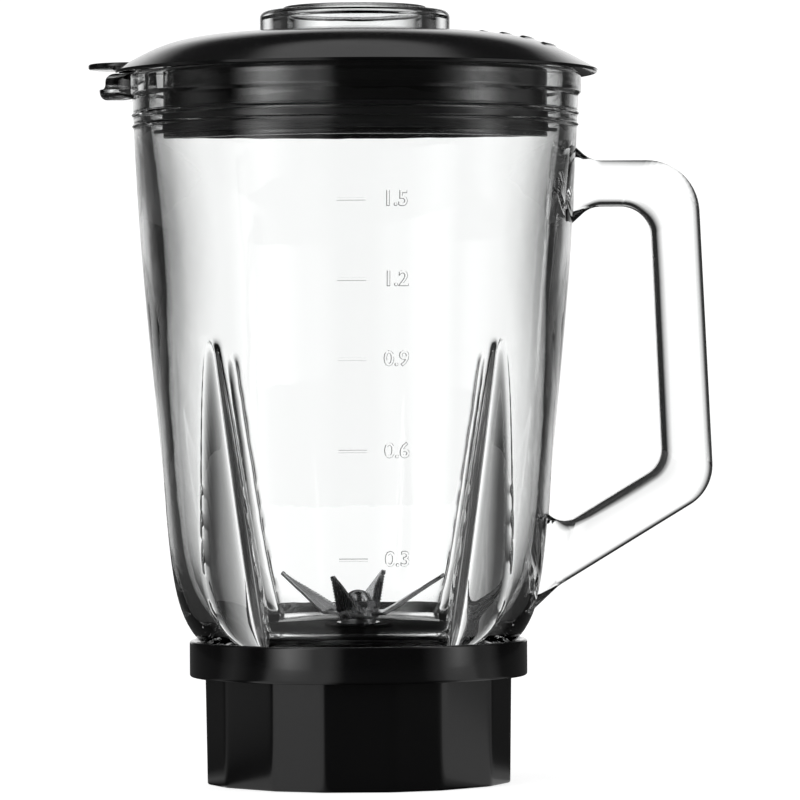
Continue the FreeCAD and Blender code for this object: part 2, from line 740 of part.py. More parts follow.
def jug_handle():
    """Return the handle: a flat D-shaped band with rounded long edges."""
    top = float(d.handle_top_height)
    under = top - float(d.handle_bar_height)
    reach = float(d.handle_reach)
    grip = float(d.handle_grip_width)
    elbow = Vector(float(d.handle_elbow_reach), 0, float(d.handle_elbow_height))
    foot = Vector(float(d.handle_foot_reach), 0, float(d.handle_foot_height))
    slope = (elbow.z - foot.z) / (elbow.x - foot.x)
    lift = float(d.handle_strut_width) * math.sqrt(1 + slope * slope)
    root = float(d.inner_throat_radius) + 1
    inner_elbow = Vector(elbow.x - grip, 0, elbow.z - grip * slope + lift)
    inner_foot = float(d.inner_belly_radius)
    gap_foot = inner_elbow.z - (inner_elbow.x - inner_foot) * slope
    flare = float(d.handle_root_flare)
    bend = flare * 1.6
    bar_start = jug_radius(top) + 0.2
    gap_start = jug_radius(under) + 0.2
    strut_start = jug_radius(gap_foot + flare) + 0.2
    strut_level = gap_foot + (strut_start + flare - inner_foot) * slope
    outer = [(root, top + flare, 0), (bar_start, top + flare, 0), (bar_start + flare, top, bend),
             (reach, top, float(d.handle_upper_bend)),
             (elbow.x, elbow.z, float(d.handle_lower_bend)),
             (foot.x + flare, foot.z + flare * slope, bend), (foot.x - 1.6, foot.z - 3.2, 0)]
    inner = [(foot.x - 6, foot.z - 3.2, 0), (foot.x - 3, strut_level + flare, 0),
             (strut_start, strut_level + flare * 0.6, 0), (strut_start + flare, strut_level, bend),
             (inner_elbow.x, inner_elbow.z, float(d.handle_lower_bend) * 0.6),
             (reach - grip + 1.4, under, float(d.handle_upper_bend) * 0.6),
             (gap_start + flare, under, bend), (gap_start, under - flare, 0),
             (foot.x, under - flare, 0), (foot.x, under, 0), (root, under, 0)]
    deep = float(d.handle_depth)
    band = Part.Face(filleted_outline(outer + inner)).extrude(Vector(0, deep, 0))
    band.translate(Vector(0, -deep / 2, 0))
    long_edges = [e for e in band.Edges if e.BoundBox.YLength < 1e-3 and e.BoundBox.XMax > root + 2]
    return band.makeFillet(float(d.handle_edge_round), long_edges)


def spout_block(reach, width, foot, head):
    """Return a round-nosed block that points to -X."""
    half = width / 2
    nose = Part.makeCylinder(half, head - foot, Vector(half - reach, 0, foot))
    bar = Part.makeBox(reach - half - 60, width, head - foot, Vector(half - reach, -half, foot))
    return nose.fuse(bar)


MARK_LEVELS = (72.8, 106.4, 134.8, 159.4, 184.0)
MARK_OFFSET = 0.6


def scale_marks():
    """Return the raised dashes of the volume scale on the -Y side, 0.3 litres apart."""
    marks = []
    for level in MARK_LEVELS:
        outer = jug_radius(level) + float(d.mark_relief)
        marks.append(Part.makeBox(float(d.mark_width), 2.0, float(d.mark_thickness), Vector(
            -float(d.mark_width) * MARK_OFFSET, -outer, level - float(d.mark_thickness) / 2)))
    return marks


def make_jug():
    """Make the glass vessel with its spout, and the glass handle that is joined to it hot."""
    outside = jug_outside()
    solid("glass_handle", jug_handle().cut(outside))
    cavity = jug_cavity()
    rim = float(d.rim_height)
    spout = spout_block(float(d.spout_reach), float(d.spout_width), float(d.spout_foot_height), rim)
    spout = spout.removeSplitter()
    edges = [e for e in spout.Edges if abs(e.BoundBox.ZLength) < 1e-3 and e.BoundBox.XMax < -61]
    spout = spout.makeFillet(float(d.spout_edge_round), edges)
    lugs = screw_lugs(float(d.neck_radius) - 1.0, float(d.neck_radius + d.lug_depth),
                      float(d.jug_lug_height), float(d.lug_height))
    shell = outside.fuse(spout).cut(cavity)
    ribs = [jug_rib(45 + 90 * turn).common(outside) for turn in range(4)]
    shell = shell.fuse(ribs + lugs)
    for mark in scale_marks():
        shell = shell.fuse(mark)
    bore = cylinder(d.neck_bore_radius, d.neck_foot_height - 1.0, d.floor_height)
    width = float(d.spout_channel_width)
    channel = spout_block(float(d.spout_reach) + 20, width, rim - float(d.spout_channel_depth),
                          rim + 1)
    solid("glass_jug", shell.cut([bore, channel]))


make_jug()


# ---------------------------------------------------------------- lid, its seal and the measuring cap

def make_lid():
    """Make the lid: domed crown with a brim, plug wall, filler tube, spout tab and grip ribs."""
    wall = float(d.lid_wall)
    crown = float(d.crown_height)
    brim = float(d.brim_radius)
    edge = float(d.brim_foot_height + d.brim_edge)
    lean = float(d.brim_lean)
    shoulder = (brim - float(d.crown_shoulder_inset), crown - float(d.crown_shoulder_fall))
    skirt = (brim - float(d.crown_skirt_inset), crown - float(d.crown_skirt_fall))
    over = curve([(float(d.crown_radius), crown), shoulder, skirt, (brim, edge)])
    under = curve([(brim - lean, float(d.brim_foot_height)),
                   (skirt[0] - lean, skirt[1] - wall + lean),
                   (shoulder[0] - float(d.crown_shoulder_lean), shoulder[1] - wall),
                   (float(d.crown_radius), crown - wall)])
    hole = float(d.filler_radius)
    cover = lines([(hole, crown), (d.crown_radius, crown)]) + [over]
    cover += lines([(brim, edge), (brim - lean, d.brim_foot_height)])
    cover += [under] + lines([(d.crown_radius, crown - wall), (hole, crown - wall), (hole, crown)])
    shell = turned_about_axis(cover)
    plug = float(d.plug_radius)
    groove = plug - float(d.seal_groove_depth)
    groove_foot = float(d.seal_groove_height)
    groove_head = groove_foot + float(d.seal_groove_length)
    seat = float(d.rim_radius - d.plug_seat_overlap)
    plug_ring = lines([
        (groove - wall, d.plug_foot_height), (plug, d.plug_foot_height), (plug, groove_foot),
        (groove, groove_foot), (groove, groove_head), (plug, groove_head), (plug, rest_on_rim),
        (seat, rest_on_rim), (seat, crown - float(d.plug_seat_fall)),
        (groove - wall, crown - float(d.plug_wall_fall)),
        (groove - wall, d.plug_foot_height)])
    tube = lines([(hole, d.filler_foot_height), (hole + float(d.filler_wall), d.filler_foot_height),
                  (hole + float(d.filler_wall), crown - 0.5), (hole, crown - 0.5),
                  (hole, d.filler_foot_height)])
    tab = spout_block(float(d.tab_reach), float(d.tab_width),
                      float(d.tab_height - d.tab_thickness), float(d.tab_height))
    tab = tab.removeSplitter().cut(cylinder(brim - 9, 0, 300))
    notch_width = float(d.spout_width + d.spout_notch_gap * 2)
    notch = spout_block(float(d.tab_reach) + 20, notch_width, float(d.brim_foot_height) - 9,
                        float(d.tab_height - d.tab_thickness))
    notch = notch.cut(cylinder(d.rim_radius + 0.4, 0, 300))
    shape = shell.cut(notch).fuse([turned_about_axis(plug_ring), turned_about_axis(tube), tab])
    solid("lid", shape.fuse(grip_ribs(over)))


def grip_ribs(over):
    """Return the short curved ribs on the crown's handle side, each sunk into the crown."""
    ribs = []
    half = float(d.grip_rib_width) / 2
    angle = float(d.grip_rib_angle)
    for step in range(5):
        radius = float(d.crown_radius) + 2.4 + step * float(d.grip_rib_pitch)
        level = min(over.discretize(400), key=lambda point: abs(point.x - radius)).z
        section = lines([(radius - half, level - 1.0), (radius + half, level - 1.0),
                         (radius + half, level + float(d.grip_rib_height) - 0.2),
                         (radius - half, level + float(d.grip_rib_height)),
                         (radius - half, level - 1.0)])
        rib = Part.Face(Part.Wire(section)).revolve(Vector(), UP, angle)
        rib.rotate(Vector(), UP, -angle / 2)
        ribs.append(rib)
    return ribs


make_lid()

groove_floor = d.plug_radius - d.seal_groove_depth
groove_foot = d.seal_groove_height + d.seal_side_gap
groove_head = d.seal_groove_height + d.seal_groove_length - d.seal_side_gap
band_radius = d.plug_radius + d.seal_band
turned("lid_seal", [
    (groove_floor, groove_foot), (d.seal_lip_radius, groove_foot),
    (d.seal_lip_radius, groove_foot + d.seal_lip_thickness),
    (band_radius, groove_foot + d.seal_lip_thickness),
    (band_radius, groove_head - d.seal_lip_thickness),
    (d.seal_lip_radius, groove_head - d.seal_lip_thickness),
    (d.seal_lip_radius, groove_head), (groove_floor, groove_head)])

cap_shoulder = cap_head - d.cap_step_height
cap_step_radius = d.cap_radius - d.cap_step_width
cap = turned("measuring_cap", [
    (d.cap_bore_radius, d.cap_foot_height), (d.cap_tube_radius, d.cap_foot_height),
    (d.cap_tube_radius, cap_foot), (d.cap_radius, cap_foot), (d.cap_radius, cap_shoulder),
    (cap_step_radius, cap_shoulder), (cap_step_radius, cap_head), (ZERO, cap_head),
    (ZERO, cap_head - d.cap_top_thickness), (d.cap_bore_radius, cap_head - d.cap_top_thickness)])
rounded(cap, d.cap_edge_round, lambda radius, height: (
    radius > float(d.filler_radius) and height > float(cap_foot) + 0.1))

# ---------------------------------------------------------------- checks and files

doc.recompute()
for item in doc.Objects:
    if "Invalid" in item.State or "Error" in item.State:
        raise RuntimeError("%s did not build: %s" % (item.Name, item.State))
for name, item in nodes.items():
    item.Label = name
    shape = item.Shape
    if shape.isNull() or not shape.isValid() or len(shape.Solids) != 1:
        raise RuntimeError("%s is not one valid solid (%d)" % (name, len(shape.Solids)))

os.makedirs("parts", exist_ok=True)
for name, item in nodes.items():
    item.Shape.exportStep("parts/%s.step" % name)
print("%d parts written" % len(nodes))
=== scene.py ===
"""Visual model of a glass blender jug with its screw collar, knives, lid and measuring cap.

Lengths are millimetres while a shape is worked out and metres in the finished mesh. The origin
is on the jug's axis at the collar's foot, +Z is up, the handle points to +X, the spout to -X.
"""
import logging
import math
from collections.abc import Callable
from dataclasses import dataclass
from enum import Enum

import bmesh
import bpy
import numpy as np
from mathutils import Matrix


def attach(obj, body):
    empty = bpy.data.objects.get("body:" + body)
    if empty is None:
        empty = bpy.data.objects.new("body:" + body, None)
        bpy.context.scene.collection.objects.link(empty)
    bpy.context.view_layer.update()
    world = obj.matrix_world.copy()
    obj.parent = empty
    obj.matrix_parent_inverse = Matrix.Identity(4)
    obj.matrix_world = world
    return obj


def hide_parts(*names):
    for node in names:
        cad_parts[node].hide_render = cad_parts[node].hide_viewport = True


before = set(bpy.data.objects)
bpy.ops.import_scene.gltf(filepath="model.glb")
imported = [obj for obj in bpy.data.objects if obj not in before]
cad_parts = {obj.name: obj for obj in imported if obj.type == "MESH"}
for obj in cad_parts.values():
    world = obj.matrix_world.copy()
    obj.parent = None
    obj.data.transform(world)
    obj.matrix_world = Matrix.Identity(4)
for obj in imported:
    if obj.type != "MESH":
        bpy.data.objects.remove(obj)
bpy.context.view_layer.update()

Array = np.ndarray
Corner = tuple[float, float, float]
Shaper = Callable[[Array, Array, Array], tuple[Array, Array]]

METRES = 0.001
SUPPORT = 0.25
ARC_STEPS = 6
log = logging.getLogger("blender_jug")


# ------------------------------------------------------------------ outlines and surfaces

class Slot(Enum):
    """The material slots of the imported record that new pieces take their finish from."""

    BLACK_GLOSS = "black_gloss"
    BLACK_MATT = "black_matt"
    SILICONE = "silicone"
    RUBBER_BLACK = "rubber_black"
    BRONZE = "bronze"
    STEEL = "steel"
    SPRING_STEEL = "spring_steel"
    BLADE_STEEL = "blade_steel"
    COUPLING_BLACK = "coupling_black"
    CLEAR_GLASS = "clear_glass"
    CLEAR_PLASTIC = "clear_plastic"


@dataclass
class Surface:
    """A grid of points with the directions in which it closes on itself.

    Attributes:
        points: Rows by columns by (x, y, z), in millimetres.
        wrap_rows: True where the last row joins the first.
        wrap_columns: True where the last column joins the first.
        uv: Rows by columns by (u, v), in millimetres, or None.
    """

    points: Array
    wrap_rows: bool = True
    wrap_columns: bool = True
    uv: Array | None = None

    def faces(self) -> Array:
        """Return the quads, each cell's four corners taken round in order."""
        rows, columns = self.points.shape[:2]
        row = np.arange(rows if self.wrap_rows else rows - 1)
        column = np.arange(columns if self.wrap_columns else columns - 1)
        low, left = np.meshgrid(row, column, indexing="ij")
        high, right = (low + 1) % rows, (left + 1) % columns
        cells = (low * columns + left, low * columns + right,
                 high * columns + right, high * columns + left)
        return np.stack(cells, -1).reshape(-1, 4)


def unit(vector: Array) -> Array:
    """Return the vector over its own length."""
    return vector / np.linalg.norm(vector)


def filleted(corners: list[Corner], closed: bool = True, steps: int = ARC_STEPS) -> Array:
    """Return an outline whose corners are arcs.

    An arc of radius b in a corner of half angle h starts b / tan(h) from the corner, and its
    centre lies b / sin(h) along the bisector. One more point stands just outside each end of
    the arc, so that smooth shading stays on the arc.

    Args:
        corners: The places (x, z) of the corners with the radius of each bend.
        closed: True if the last corner joins the first.
        steps: The number of chords in each arc.

    Returns:
        The outline's points (x, z), one row each.
    """
    spots = np.array(corners, float)[:, :2]
    runs = []
    for index, (_, _, bend) in enumerate(corners):
        here = spots[index]
        if bend == 0 or (not closed and index in (0, len(corners) - 1)):
            runs.append(here[None])
            continue
        back, ahead = spots[index - 1] - here, spots[(index + 1) % len(corners)] - here
        room = 0.49 * min(np.linalg.norm(back), np.linalg.norm(ahead))
        back, ahead = unit(back), unit(ahead)
        half = 0.5 * math.acos(float(np.clip(back @ ahead, -1, 1)))
        reach = min(bend / math.tan(half), room)
        radius = reach * math.tan(half)
        centre = here + unit(back + ahead) * radius / math.sin(half)
        first, last = here + back * reach - centre, here + ahead * reach - centre
        turn = math.pi - 2 * half
        side = (last - math.cos(turn) * first) / math.sin(turn)
        way = np.linspace(0, turn, steps + 1)[:, None]
        outside = min(reach + SUPPORT, room)
        runs.append(np.concatenate([
            (here + back * outside)[None],
            centre + np.cos(way) * first + np.sin(way) * side,
            (here + ahead * outside)[None]]))
    return np.concatenate(runs)


def smooth_curve(points: list[tuple[float, float]], count: int) -> Array:
    """Return a natural cubic spline through points, spaced by chord length.

    The second slopes m at the points solve h0 m0 + 2 (h0 + h1) m1 + h1 m2 = 6 (s1 - s0), where
    h are the chords and s the slopes between points, and both end slopes' change is zero.

    Args:
        points: The places (x, z) that the curve passes through.
        count: The number of places along the curve.

    Returns:
        The curve's points, one row each.
    """
    spots = np.array(points, float)
    chord = np.linalg.norm(np.diff(spots, axis=0), axis=1)
    knots = np.concatenate([[0], np.cumsum(chord)])
    slope = np.diff(spots, axis=0) / chord[:, None]
    size = len(spots)
    system, right = np.eye(size), np.zeros((size, 2))
    inner = np.arange(1, size - 1)
    system[inner, inner - 1] = chord[:-1]
    system[inner, inner] = 2 * (chord[:-1] + chord[1:])
    system[inner, inner + 1] = chord[1:]
    right[inner] = 6 * np.diff(slope, axis=0)
    bend = np.linalg.solve(system, right)
    way = np.linspace(0, knots[-1], count)
    cell = np.clip(np.searchsorted(knots, way, side="right") - 1, 0, size - 2)
    step, h = (way - knots[cell])[:, None], chord[cell][:, None]
    linear = slope[cell] - h * (2 * bend[cell] + bend[cell + 1]) / 6
    cubic = (bend[cell + 1] - bend[cell]) / (6 * h)
    return spots[cell] + linear * step + bend[cell] * step ** 2 / 2 + cubic * step ** 3


def soft_least(first: Array, second: Array, blend: float) -> Array:
    """Return the lesser of two arrays, rounded over where they are within blend."""
    return np.minimum(first, second) - blend * np.log1p(np.exp(-np.abs(first - second) / blend))


def ease(share: Array) -> Array:
    """Return 3 s^2 - 2 s^3, which climbs smoothly from 0 to 1."""
    held = np.clip(share, 0, 1)
    return held * held * (3 - 2 * held)


def turned(outline: Array, columns: int, shaper: Shaper | None = None,
           crowd: float = 0.0) -> Surface:
    """Return the closed surface that an outline (radius, height) sweeps about Z.

    The columns stand at angles t + c sin(4 t) / 4, which crowds them about 45 degrees and each
    quarter turn from there, as c goes from 0 to 1.

    Args:
        outline: The outline's points (radius, height), closed on itself.
        columns: The number of steps round the axis.
        shaper: Takes radius, height and angle as whole grids, and returns radius and height.
        crowd: The share c by which the columns are crowded.

    Returns:
        The surface with point (r cos a, r sin a, z) in row z and column a.
    """
    angle = np.linspace(0, 2 * math.pi, columns, endpoint=False)[None, :]
    angle = angle + crowd * np.sin(4 * angle) / 4
    radius = np.repeat(outline[:, :1], columns, axis=1)
    height = np.repeat(outline[:, 1:], columns, axis=1)
    if shaper:
        radius, height = shaper(radius, height, angle + 0 * radius)
    return Surface(np.stack([radius * np.cos(angle), radius * np.sin(angle), height], -1))


def polygon_radius(angle: Array, faces: Array, flats: Array, blend: float) -> Array:
    """Return the radius of a polygon with rounded corners at each angle.

    A flat at distance f that faces direction d has radius f / cos(angle - d), and the polygon
    is the least of them, as -b log(sum(exp(-r / b))).

    Args:
        angle: The angles, in radians.
        faces: The direction that each flat faces, in radians.
        flats: The distance of each flat from the axis.
        blend: The size b of the corner's rounding.

    Returns:
        The radius at each angle.
    """
    share = np.cos(angle[..., None] - faces)
    reach = flats / np.maximum(share, 0.2)
    least = reach.min(-1)
    return least - blend * np.log(np.exp((least[..., None] - reach) / blend).sum(-1))


def slab(outline: Callable[[Array], Array], rows: int, heights: tuple[float, float],
         edge: float) -> Surface:
    """Return a block between two heights on a closed outline, its edges rounded.

    Row by row the outline is drawn in by e - sqrt(e^2 - (e - d)^2), where d is the distance to
    the nearer end, and the ends close on a pole.

    Args:
        outline: Takes the insets, one for each row, and returns rows of points (x, y).
        rows: The number of rows in each rounded edge.
        heights: The lowest and highest level.
        edge: The radius e of the rounded edges.

    Returns:
        The closed surface.
    """
    low, high = heights
    turn = np.linspace(0, math.pi / 2, rows)
    inset = edge * (1 - np.sin(turn))
    level = edge * (1 - np.cos(turn))
    insets = np.concatenate([inset[:1], inset, inset[::-1], inset[:1]])
    levels = np.concatenate([[low], low + level, high - level[::-1], [high]])
    flat = outline(insets)
    flat[[0, -1]] = flat[[0, -1]].mean(axis=1, keepdims=True)
    points = np.concatenate([flat, np.repeat(levels[:, None, None], flat.shape[1], 1)], -1)
    return Surface(points, wrap_rows=False)


def nosed_block(reach: float, back: float, width: float, heights: tuple[float, float],
                edge: float, steps: int = 24) -> Surface:
    """Return a block that points to -X with a half-round nose.

    Args:
        reach: The distance of the nose's tip from the axis.
        back: The distance of the block's straight end from the axis.
        width: The block's width along Y.
        heights: The lowest and highest level.
        edge: The radius of its edges.
        steps: The number of steps round the nose.

    Returns:
        The closed surface.
    """
    half = width / 2
    turn = np.linspace(math.pi / 2, 3 * math.pi / 2, steps)

    def outline(insets: Array) -> Array:
        """Return the nose, a half circle drawn in by each inset, and the straight end."""
        held = insets[:, None]
        nose = np.stack([half - reach + (half - held) * np.cos(turn),
                         (half - held) * np.sin(turn)], -1)
        end = np.stack([-back + 0 * nose[:, :2, 0],
                        (half - held) * np.array([-1.0, 1.0])], -1)
        return np.concatenate([nose, end], axis=1)

    return slab(outline, ARC_STEPS, heights, edge)


def climbing_lug(inner: float, outer: float, middle: float, height: float, lead: float,
                 span: float, start: float, columns: int = 40) -> Surface:
    """Return one screw lug: a bar round part of the axis that climbs with the lead.

    Args:
        inner: The bar's inner radius.
        outer: The bar's outer radius.
        middle: The level of the bar's middle, halfway along it.
        height: The bar's height.
        lead: The climb in one whole turn.
        span: The angle it covers, in degrees.
        start: The angle of its middle, in degrees.
        columns: The number of steps along it.

    Returns:
        The closed surface, with its two ends shut on poles.
    """
    half = height / 2
    section = filleted([(inner, -half, 0.4), (outer, -half, 0.4), (outer, half, 0.4),
                        (inner, half, 0.4)], steps=3)
    turn = np.radians(np.linspace(-span / 2, span / 2, columns))[:, None]
    place = turn + math.radians(start)
    climb = lead * turn / (2 * math.pi) + middle
    radius, level = section[None, :, 0] + 0 * turn, section[None, :, 1] + climb
    points = np.stack([radius * np.cos(place), radius * np.sin(place), level], -1)
    ends = points[[0, -1]].mean(axis=1, keepdims=True) + 0 * points[[0, -1]]
    return Surface(np.concatenate([ends[:1], points, ends[1:]]), wrap_rows=False)


# ------------------------------------------------------------------ shader nodes

class Nodes:
    """Adds nodes to a tree, with each input given as a value or as another node's socket."""

    def __init__(self, tree: bpy.types.NodeTree) -> None:
        """Clear the tree and keep it."""
        self.tree = tree
        tree.nodes.clear()

    def add(self, kind: str, inputs: dict | None = None, **settings: object) -> bpy.types.Node:
        """Add one node.

        Args:
            kind: The node's type without its "ShaderNode" or "NodeGroup" prefix.
            inputs: Input names or numbers with their values or sockets.
            settings: Properties of the node itself.

        Returns:
            The new node.
        """
        full = kind if kind.startswith("NodeGroup") else "ShaderNode" + kind
        node = self.tree.nodes.new(full)
        for name, value in settings.items():
            setattr(node, name, value)
        for name, value in (inputs or {}).items():
            if isinstance(value, bpy.types.NodeSocket):
                self.tree.links.new(value, node.inputs[name])
            else:
                node.inputs[name].default_value = value
        return node

    def maths(self, operation: str, *terms: object, clamp: bool = False) -> bpy.types.NodeSocket:
        """Add one Math node on the terms and return its result."""
        return self.add("Math", dict(enumerate(terms)), operation=operation,
                        use_clamp=clamp).outputs[0]


def new_group(name: str, inputs: dict[str, tuple[str, object]],
              outputs: dict[str, str]) -> tuple[bpy.types.NodeTree, Nodes, bpy.types.Node]:
    """Start a shader node group.

    Args:
        name: The group's name.
        inputs: Input names with their kind and first value.
        outputs: Output names with their kind.

    Returns:
        The group, its node maker and its input node.
    """
    group = bpy.data.node_groups.new(name, "ShaderNodeTree")
    for label, (kind, value) in inputs.items():
        socket = group.interface.new_socket(label, in_out="INPUT", socket_type="NodeSocket" + kind)
        if value is not None:
            socket.default_value = value
    for label, kind in outputs.items():
        group.interface.new_socket(label, in_out="OUTPUT", socket_type="NodeSocket" + kind)
    nodes = Nodes(group)
    return group, nodes, nodes.add("NodeGroupInput")


def make_moulding_group() -> bpy.types.NodeTree:
    """Make the group for moulded and pressed surfaces.

    Its height is fine noise, its roughness moves between two values with slow noise and rises
    along thin scuffs, and its colour drifts between two colours with the same slow noise.
    """
    group, nodes, given = new_group(
        "moulded_surface",
        {"Vector": ("Vector", None), "Grain": ("Float", 900.0), "Drift": ("Float", 30.0),
         "Smooth": ("Float", 0.1), "Rough": ("Float", 0.2), "Scuff": ("Float", 0.1),
         "Colour": ("Color", (0.1, 0.1, 0.1, 1)), "Other Colour": ("Color", (0.1, 0.1, 0.1, 1))},
        {"Colour": "Color", "Roughness": "Float", "Height": "Float"})
    slow = nodes.add("TexNoise", {"Vector": given.outputs["Vector"],
                                  "Scale": given.outputs["Drift"], "Detail": 4.0})
    fine = nodes.add("TexNoise", {"Vector": given.outputs["Vector"],
                                  "Scale": given.outputs["Grain"], "Detail": 2.0})
    scuffs = nodes.add("TexNoise", {"Vector": given.outputs["Vector"],
                                    "Scale": 70.0, "Detail": 8.0, "Distortion": 3.0})
    line = nodes.maths("MULTIPLY", nodes.maths(
        "SUBTRACT", 0.02, nodes.maths("ABSOLUTE", nodes.maths(
            "SUBTRACT", scuffs.outputs["Fac"], 0.5)), clamp=True), 50.0, clamp=True)
    share = nodes.add("MapRange", {"Value": slow.outputs["Fac"], "From Min": 0.3, "From Max": 0.7,
                                   "To Min": given.outputs["Smooth"],
                                   "To Max": given.outputs["Rough"]})
    rough = nodes.maths("ADD", share.outputs["Result"],
                        nodes.maths("MULTIPLY", line, given.outputs["Scuff"]), clamp=True)
    tint = nodes.add("Mix", {0: slow.outputs["Fac"], 6: given.outputs["Colour"],
                             7: given.outputs["Other Colour"]}, data_type="RGBA")
    nodes.add("NodeGroupOutput", {"Colour": tint.outputs[2], "Roughness": rough,
                                  "Height": fine.outputs["Fac"]})
    return group


def make_brushed_group() -> bpy.types.NodeTree:
    """Make the group for brushed steel: noise drawn out along X gives lines and roughness."""
    group, nodes, given = new_group(
        "brushed_lines",
        {"Vector": ("Vector", None), "Fineness": ("Float", 6.0), "Smooth": ("Float", 0.2),
         "Rough": ("Float", 0.4)},
        {"Roughness": "Float", "Height": "Float", "Mask": "Float"})
    drawn = nodes.add("VectorMath", {0: given.outputs["Vector"], 1: (0.05, 1.0, 1.0)},
                      operation="MULTIPLY")
    lines = nodes.add("TexNoise", {"Vector": drawn.outputs[0],
                                   "Scale": given.outputs["Fineness"], "Detail": 3.0})
    stain = nodes.add("TexNoise", {"Vector": given.outputs["Vector"], "Scale": 0.12,
                                   "Detail": 3.0})
    rough = nodes.add("MapRange", {"Value": lines.outputs["Fac"], "From Min": 0.25,
                                   "From Max": 0.75, "To Min": given.outputs["Smooth"],
                                   "To Max": given.outputs["Rough"]})
    nodes.add("NodeGroupOutput", {"Roughness": rough.outputs["Result"],
                                  "Height": lines.outputs["Fac"],
                                  "Mask": stain.outputs["Fac"]})
    return group


class Groups:
    """The shared node groups, each made once."""

    moulding = make_moulding_group()
    brushed = make_brushed_group()


def new_material(name: str) -> tuple[bpy.types.Material, Nodes]:
    """Return a new material with an empty node tree and that tree's maker."""
    material = bpy.data.materials.new(name)
    material.use_nodes = True
    return material, Nodes(material.node_tree)


@dataclass(frozen=True)
class Moulded:
    """A moulded or pressed finish: plastic, rubber or glass.

    Attributes:
        name: The material's name.
        colour: The main colour, linear.
        other: The colour that it drifts towards, linear.
        smooth: The least roughness.
        rough: The greatest roughness.
        grain: How many grains to a metre.
        relief: The grain's depth, in millimetres.
        scuff: The extra roughness of the thin scuffs.
        clear: The share of light let through.
        bend: The index of refraction.
        coat: The weight of the glossy skin.
    """

    name: str
    colour: tuple[float, float, float]
    other: tuple[float, float, float]
    smooth: float
    rough: float
    grain: float
    relief: float
    scuff: float = 0.0
    clear: float = 0.0
    bend: float = 1.5
    coat: float = 0.0
    drift: float = 30.0

    def make(self) -> bpy.types.Material:
        """Return the finished material."""
        material, nodes = new_material(self.name)
        place = nodes.add("TexCoord").outputs["Object"]
        skin = nodes.add("Group", {
            "Vector": place, "Grain": self.grain, "Drift": self.drift, "Smooth": self.smooth,
            "Rough": self.rough, "Scuff": self.scuff, "Colour": (*self.colour, 1),
            "Other Colour": (*self.other, 1)}, node_tree=Groups.moulding)
        bump = nodes.add("Bump", {"Height": skin.outputs["Height"], "Strength": 1.0,
                                  "Distance": self.relief * METRES})
        shader = nodes.add("BsdfPrincipled", {
            "Base Color": skin.outputs["Colour"], "Roughness": skin.outputs["Roughness"],
            "Normal": bump.outputs[0], "IOR": self.bend, "Transmission Weight": self.clear,
            "Coat Weight": self.coat, "Coat Roughness": 0.04})
        nodes.add("OutputMaterial", {"Surface": shader.outputs[0]})
        return material


@dataclass(frozen=True)
class Metal:
    """A metal finish with drawn or turned lines.

    Attributes:
        name: The material's name.
        colour: The metal's colour, linear.
        smooth: The least roughness.
        rough: The greatest roughness.
        fineness: How many lines to a millimetre, about.
        relief: The lines' depth, in millimetres.
        along: True where the lines follow the piece's own UV map, else its height.
    """

    name: str
    colour: tuple[float, float, float]
    smooth: float
    rough: float
    fineness: float
    relief: float
    along: bool = False

    def make(self) -> bpy.types.Material:
        """Return the finished material."""
        material, nodes = new_material(self.name)
        coordinates = nodes.add("TexCoord")
        source = coordinates.outputs["UV" if self.along else "Object"]
        scale = (1.0, 1.0, 1.0) if self.along else (20.0, 20.0, 1000.0)
        place = nodes.add("VectorMath", {0: source, 1: scale}, operation="MULTIPLY").outputs[0]
        lines = nodes.add("Group", {"Vector": place, "Fineness": self.fineness,
                                    "Smooth": self.smooth, "Rough": self.rough},
                          node_tree=Groups.brushed)
        bump = nodes.add("Bump", {"Height": lines.outputs["Height"], "Strength": 1.0,
                                  "Distance": self.relief * METRES})
        darker = tuple(0.8 * shade for shade in self.colour)
        tint = nodes.add("Mix", {0: lines.outputs["Mask"], 6: (*self.colour, 1),
                                 7: (*darker, 1)}, data_type="RGBA")
        shader = nodes.add("BsdfPrincipled", {
            "Base Color": tint.outputs[2], "Roughness": lines.outputs["Roughness"],
            "Normal": bump.outputs[0], "Metallic": 1.0})
        nodes.add("OutputMaterial", {"Surface": shader.outputs[0]})
        return material


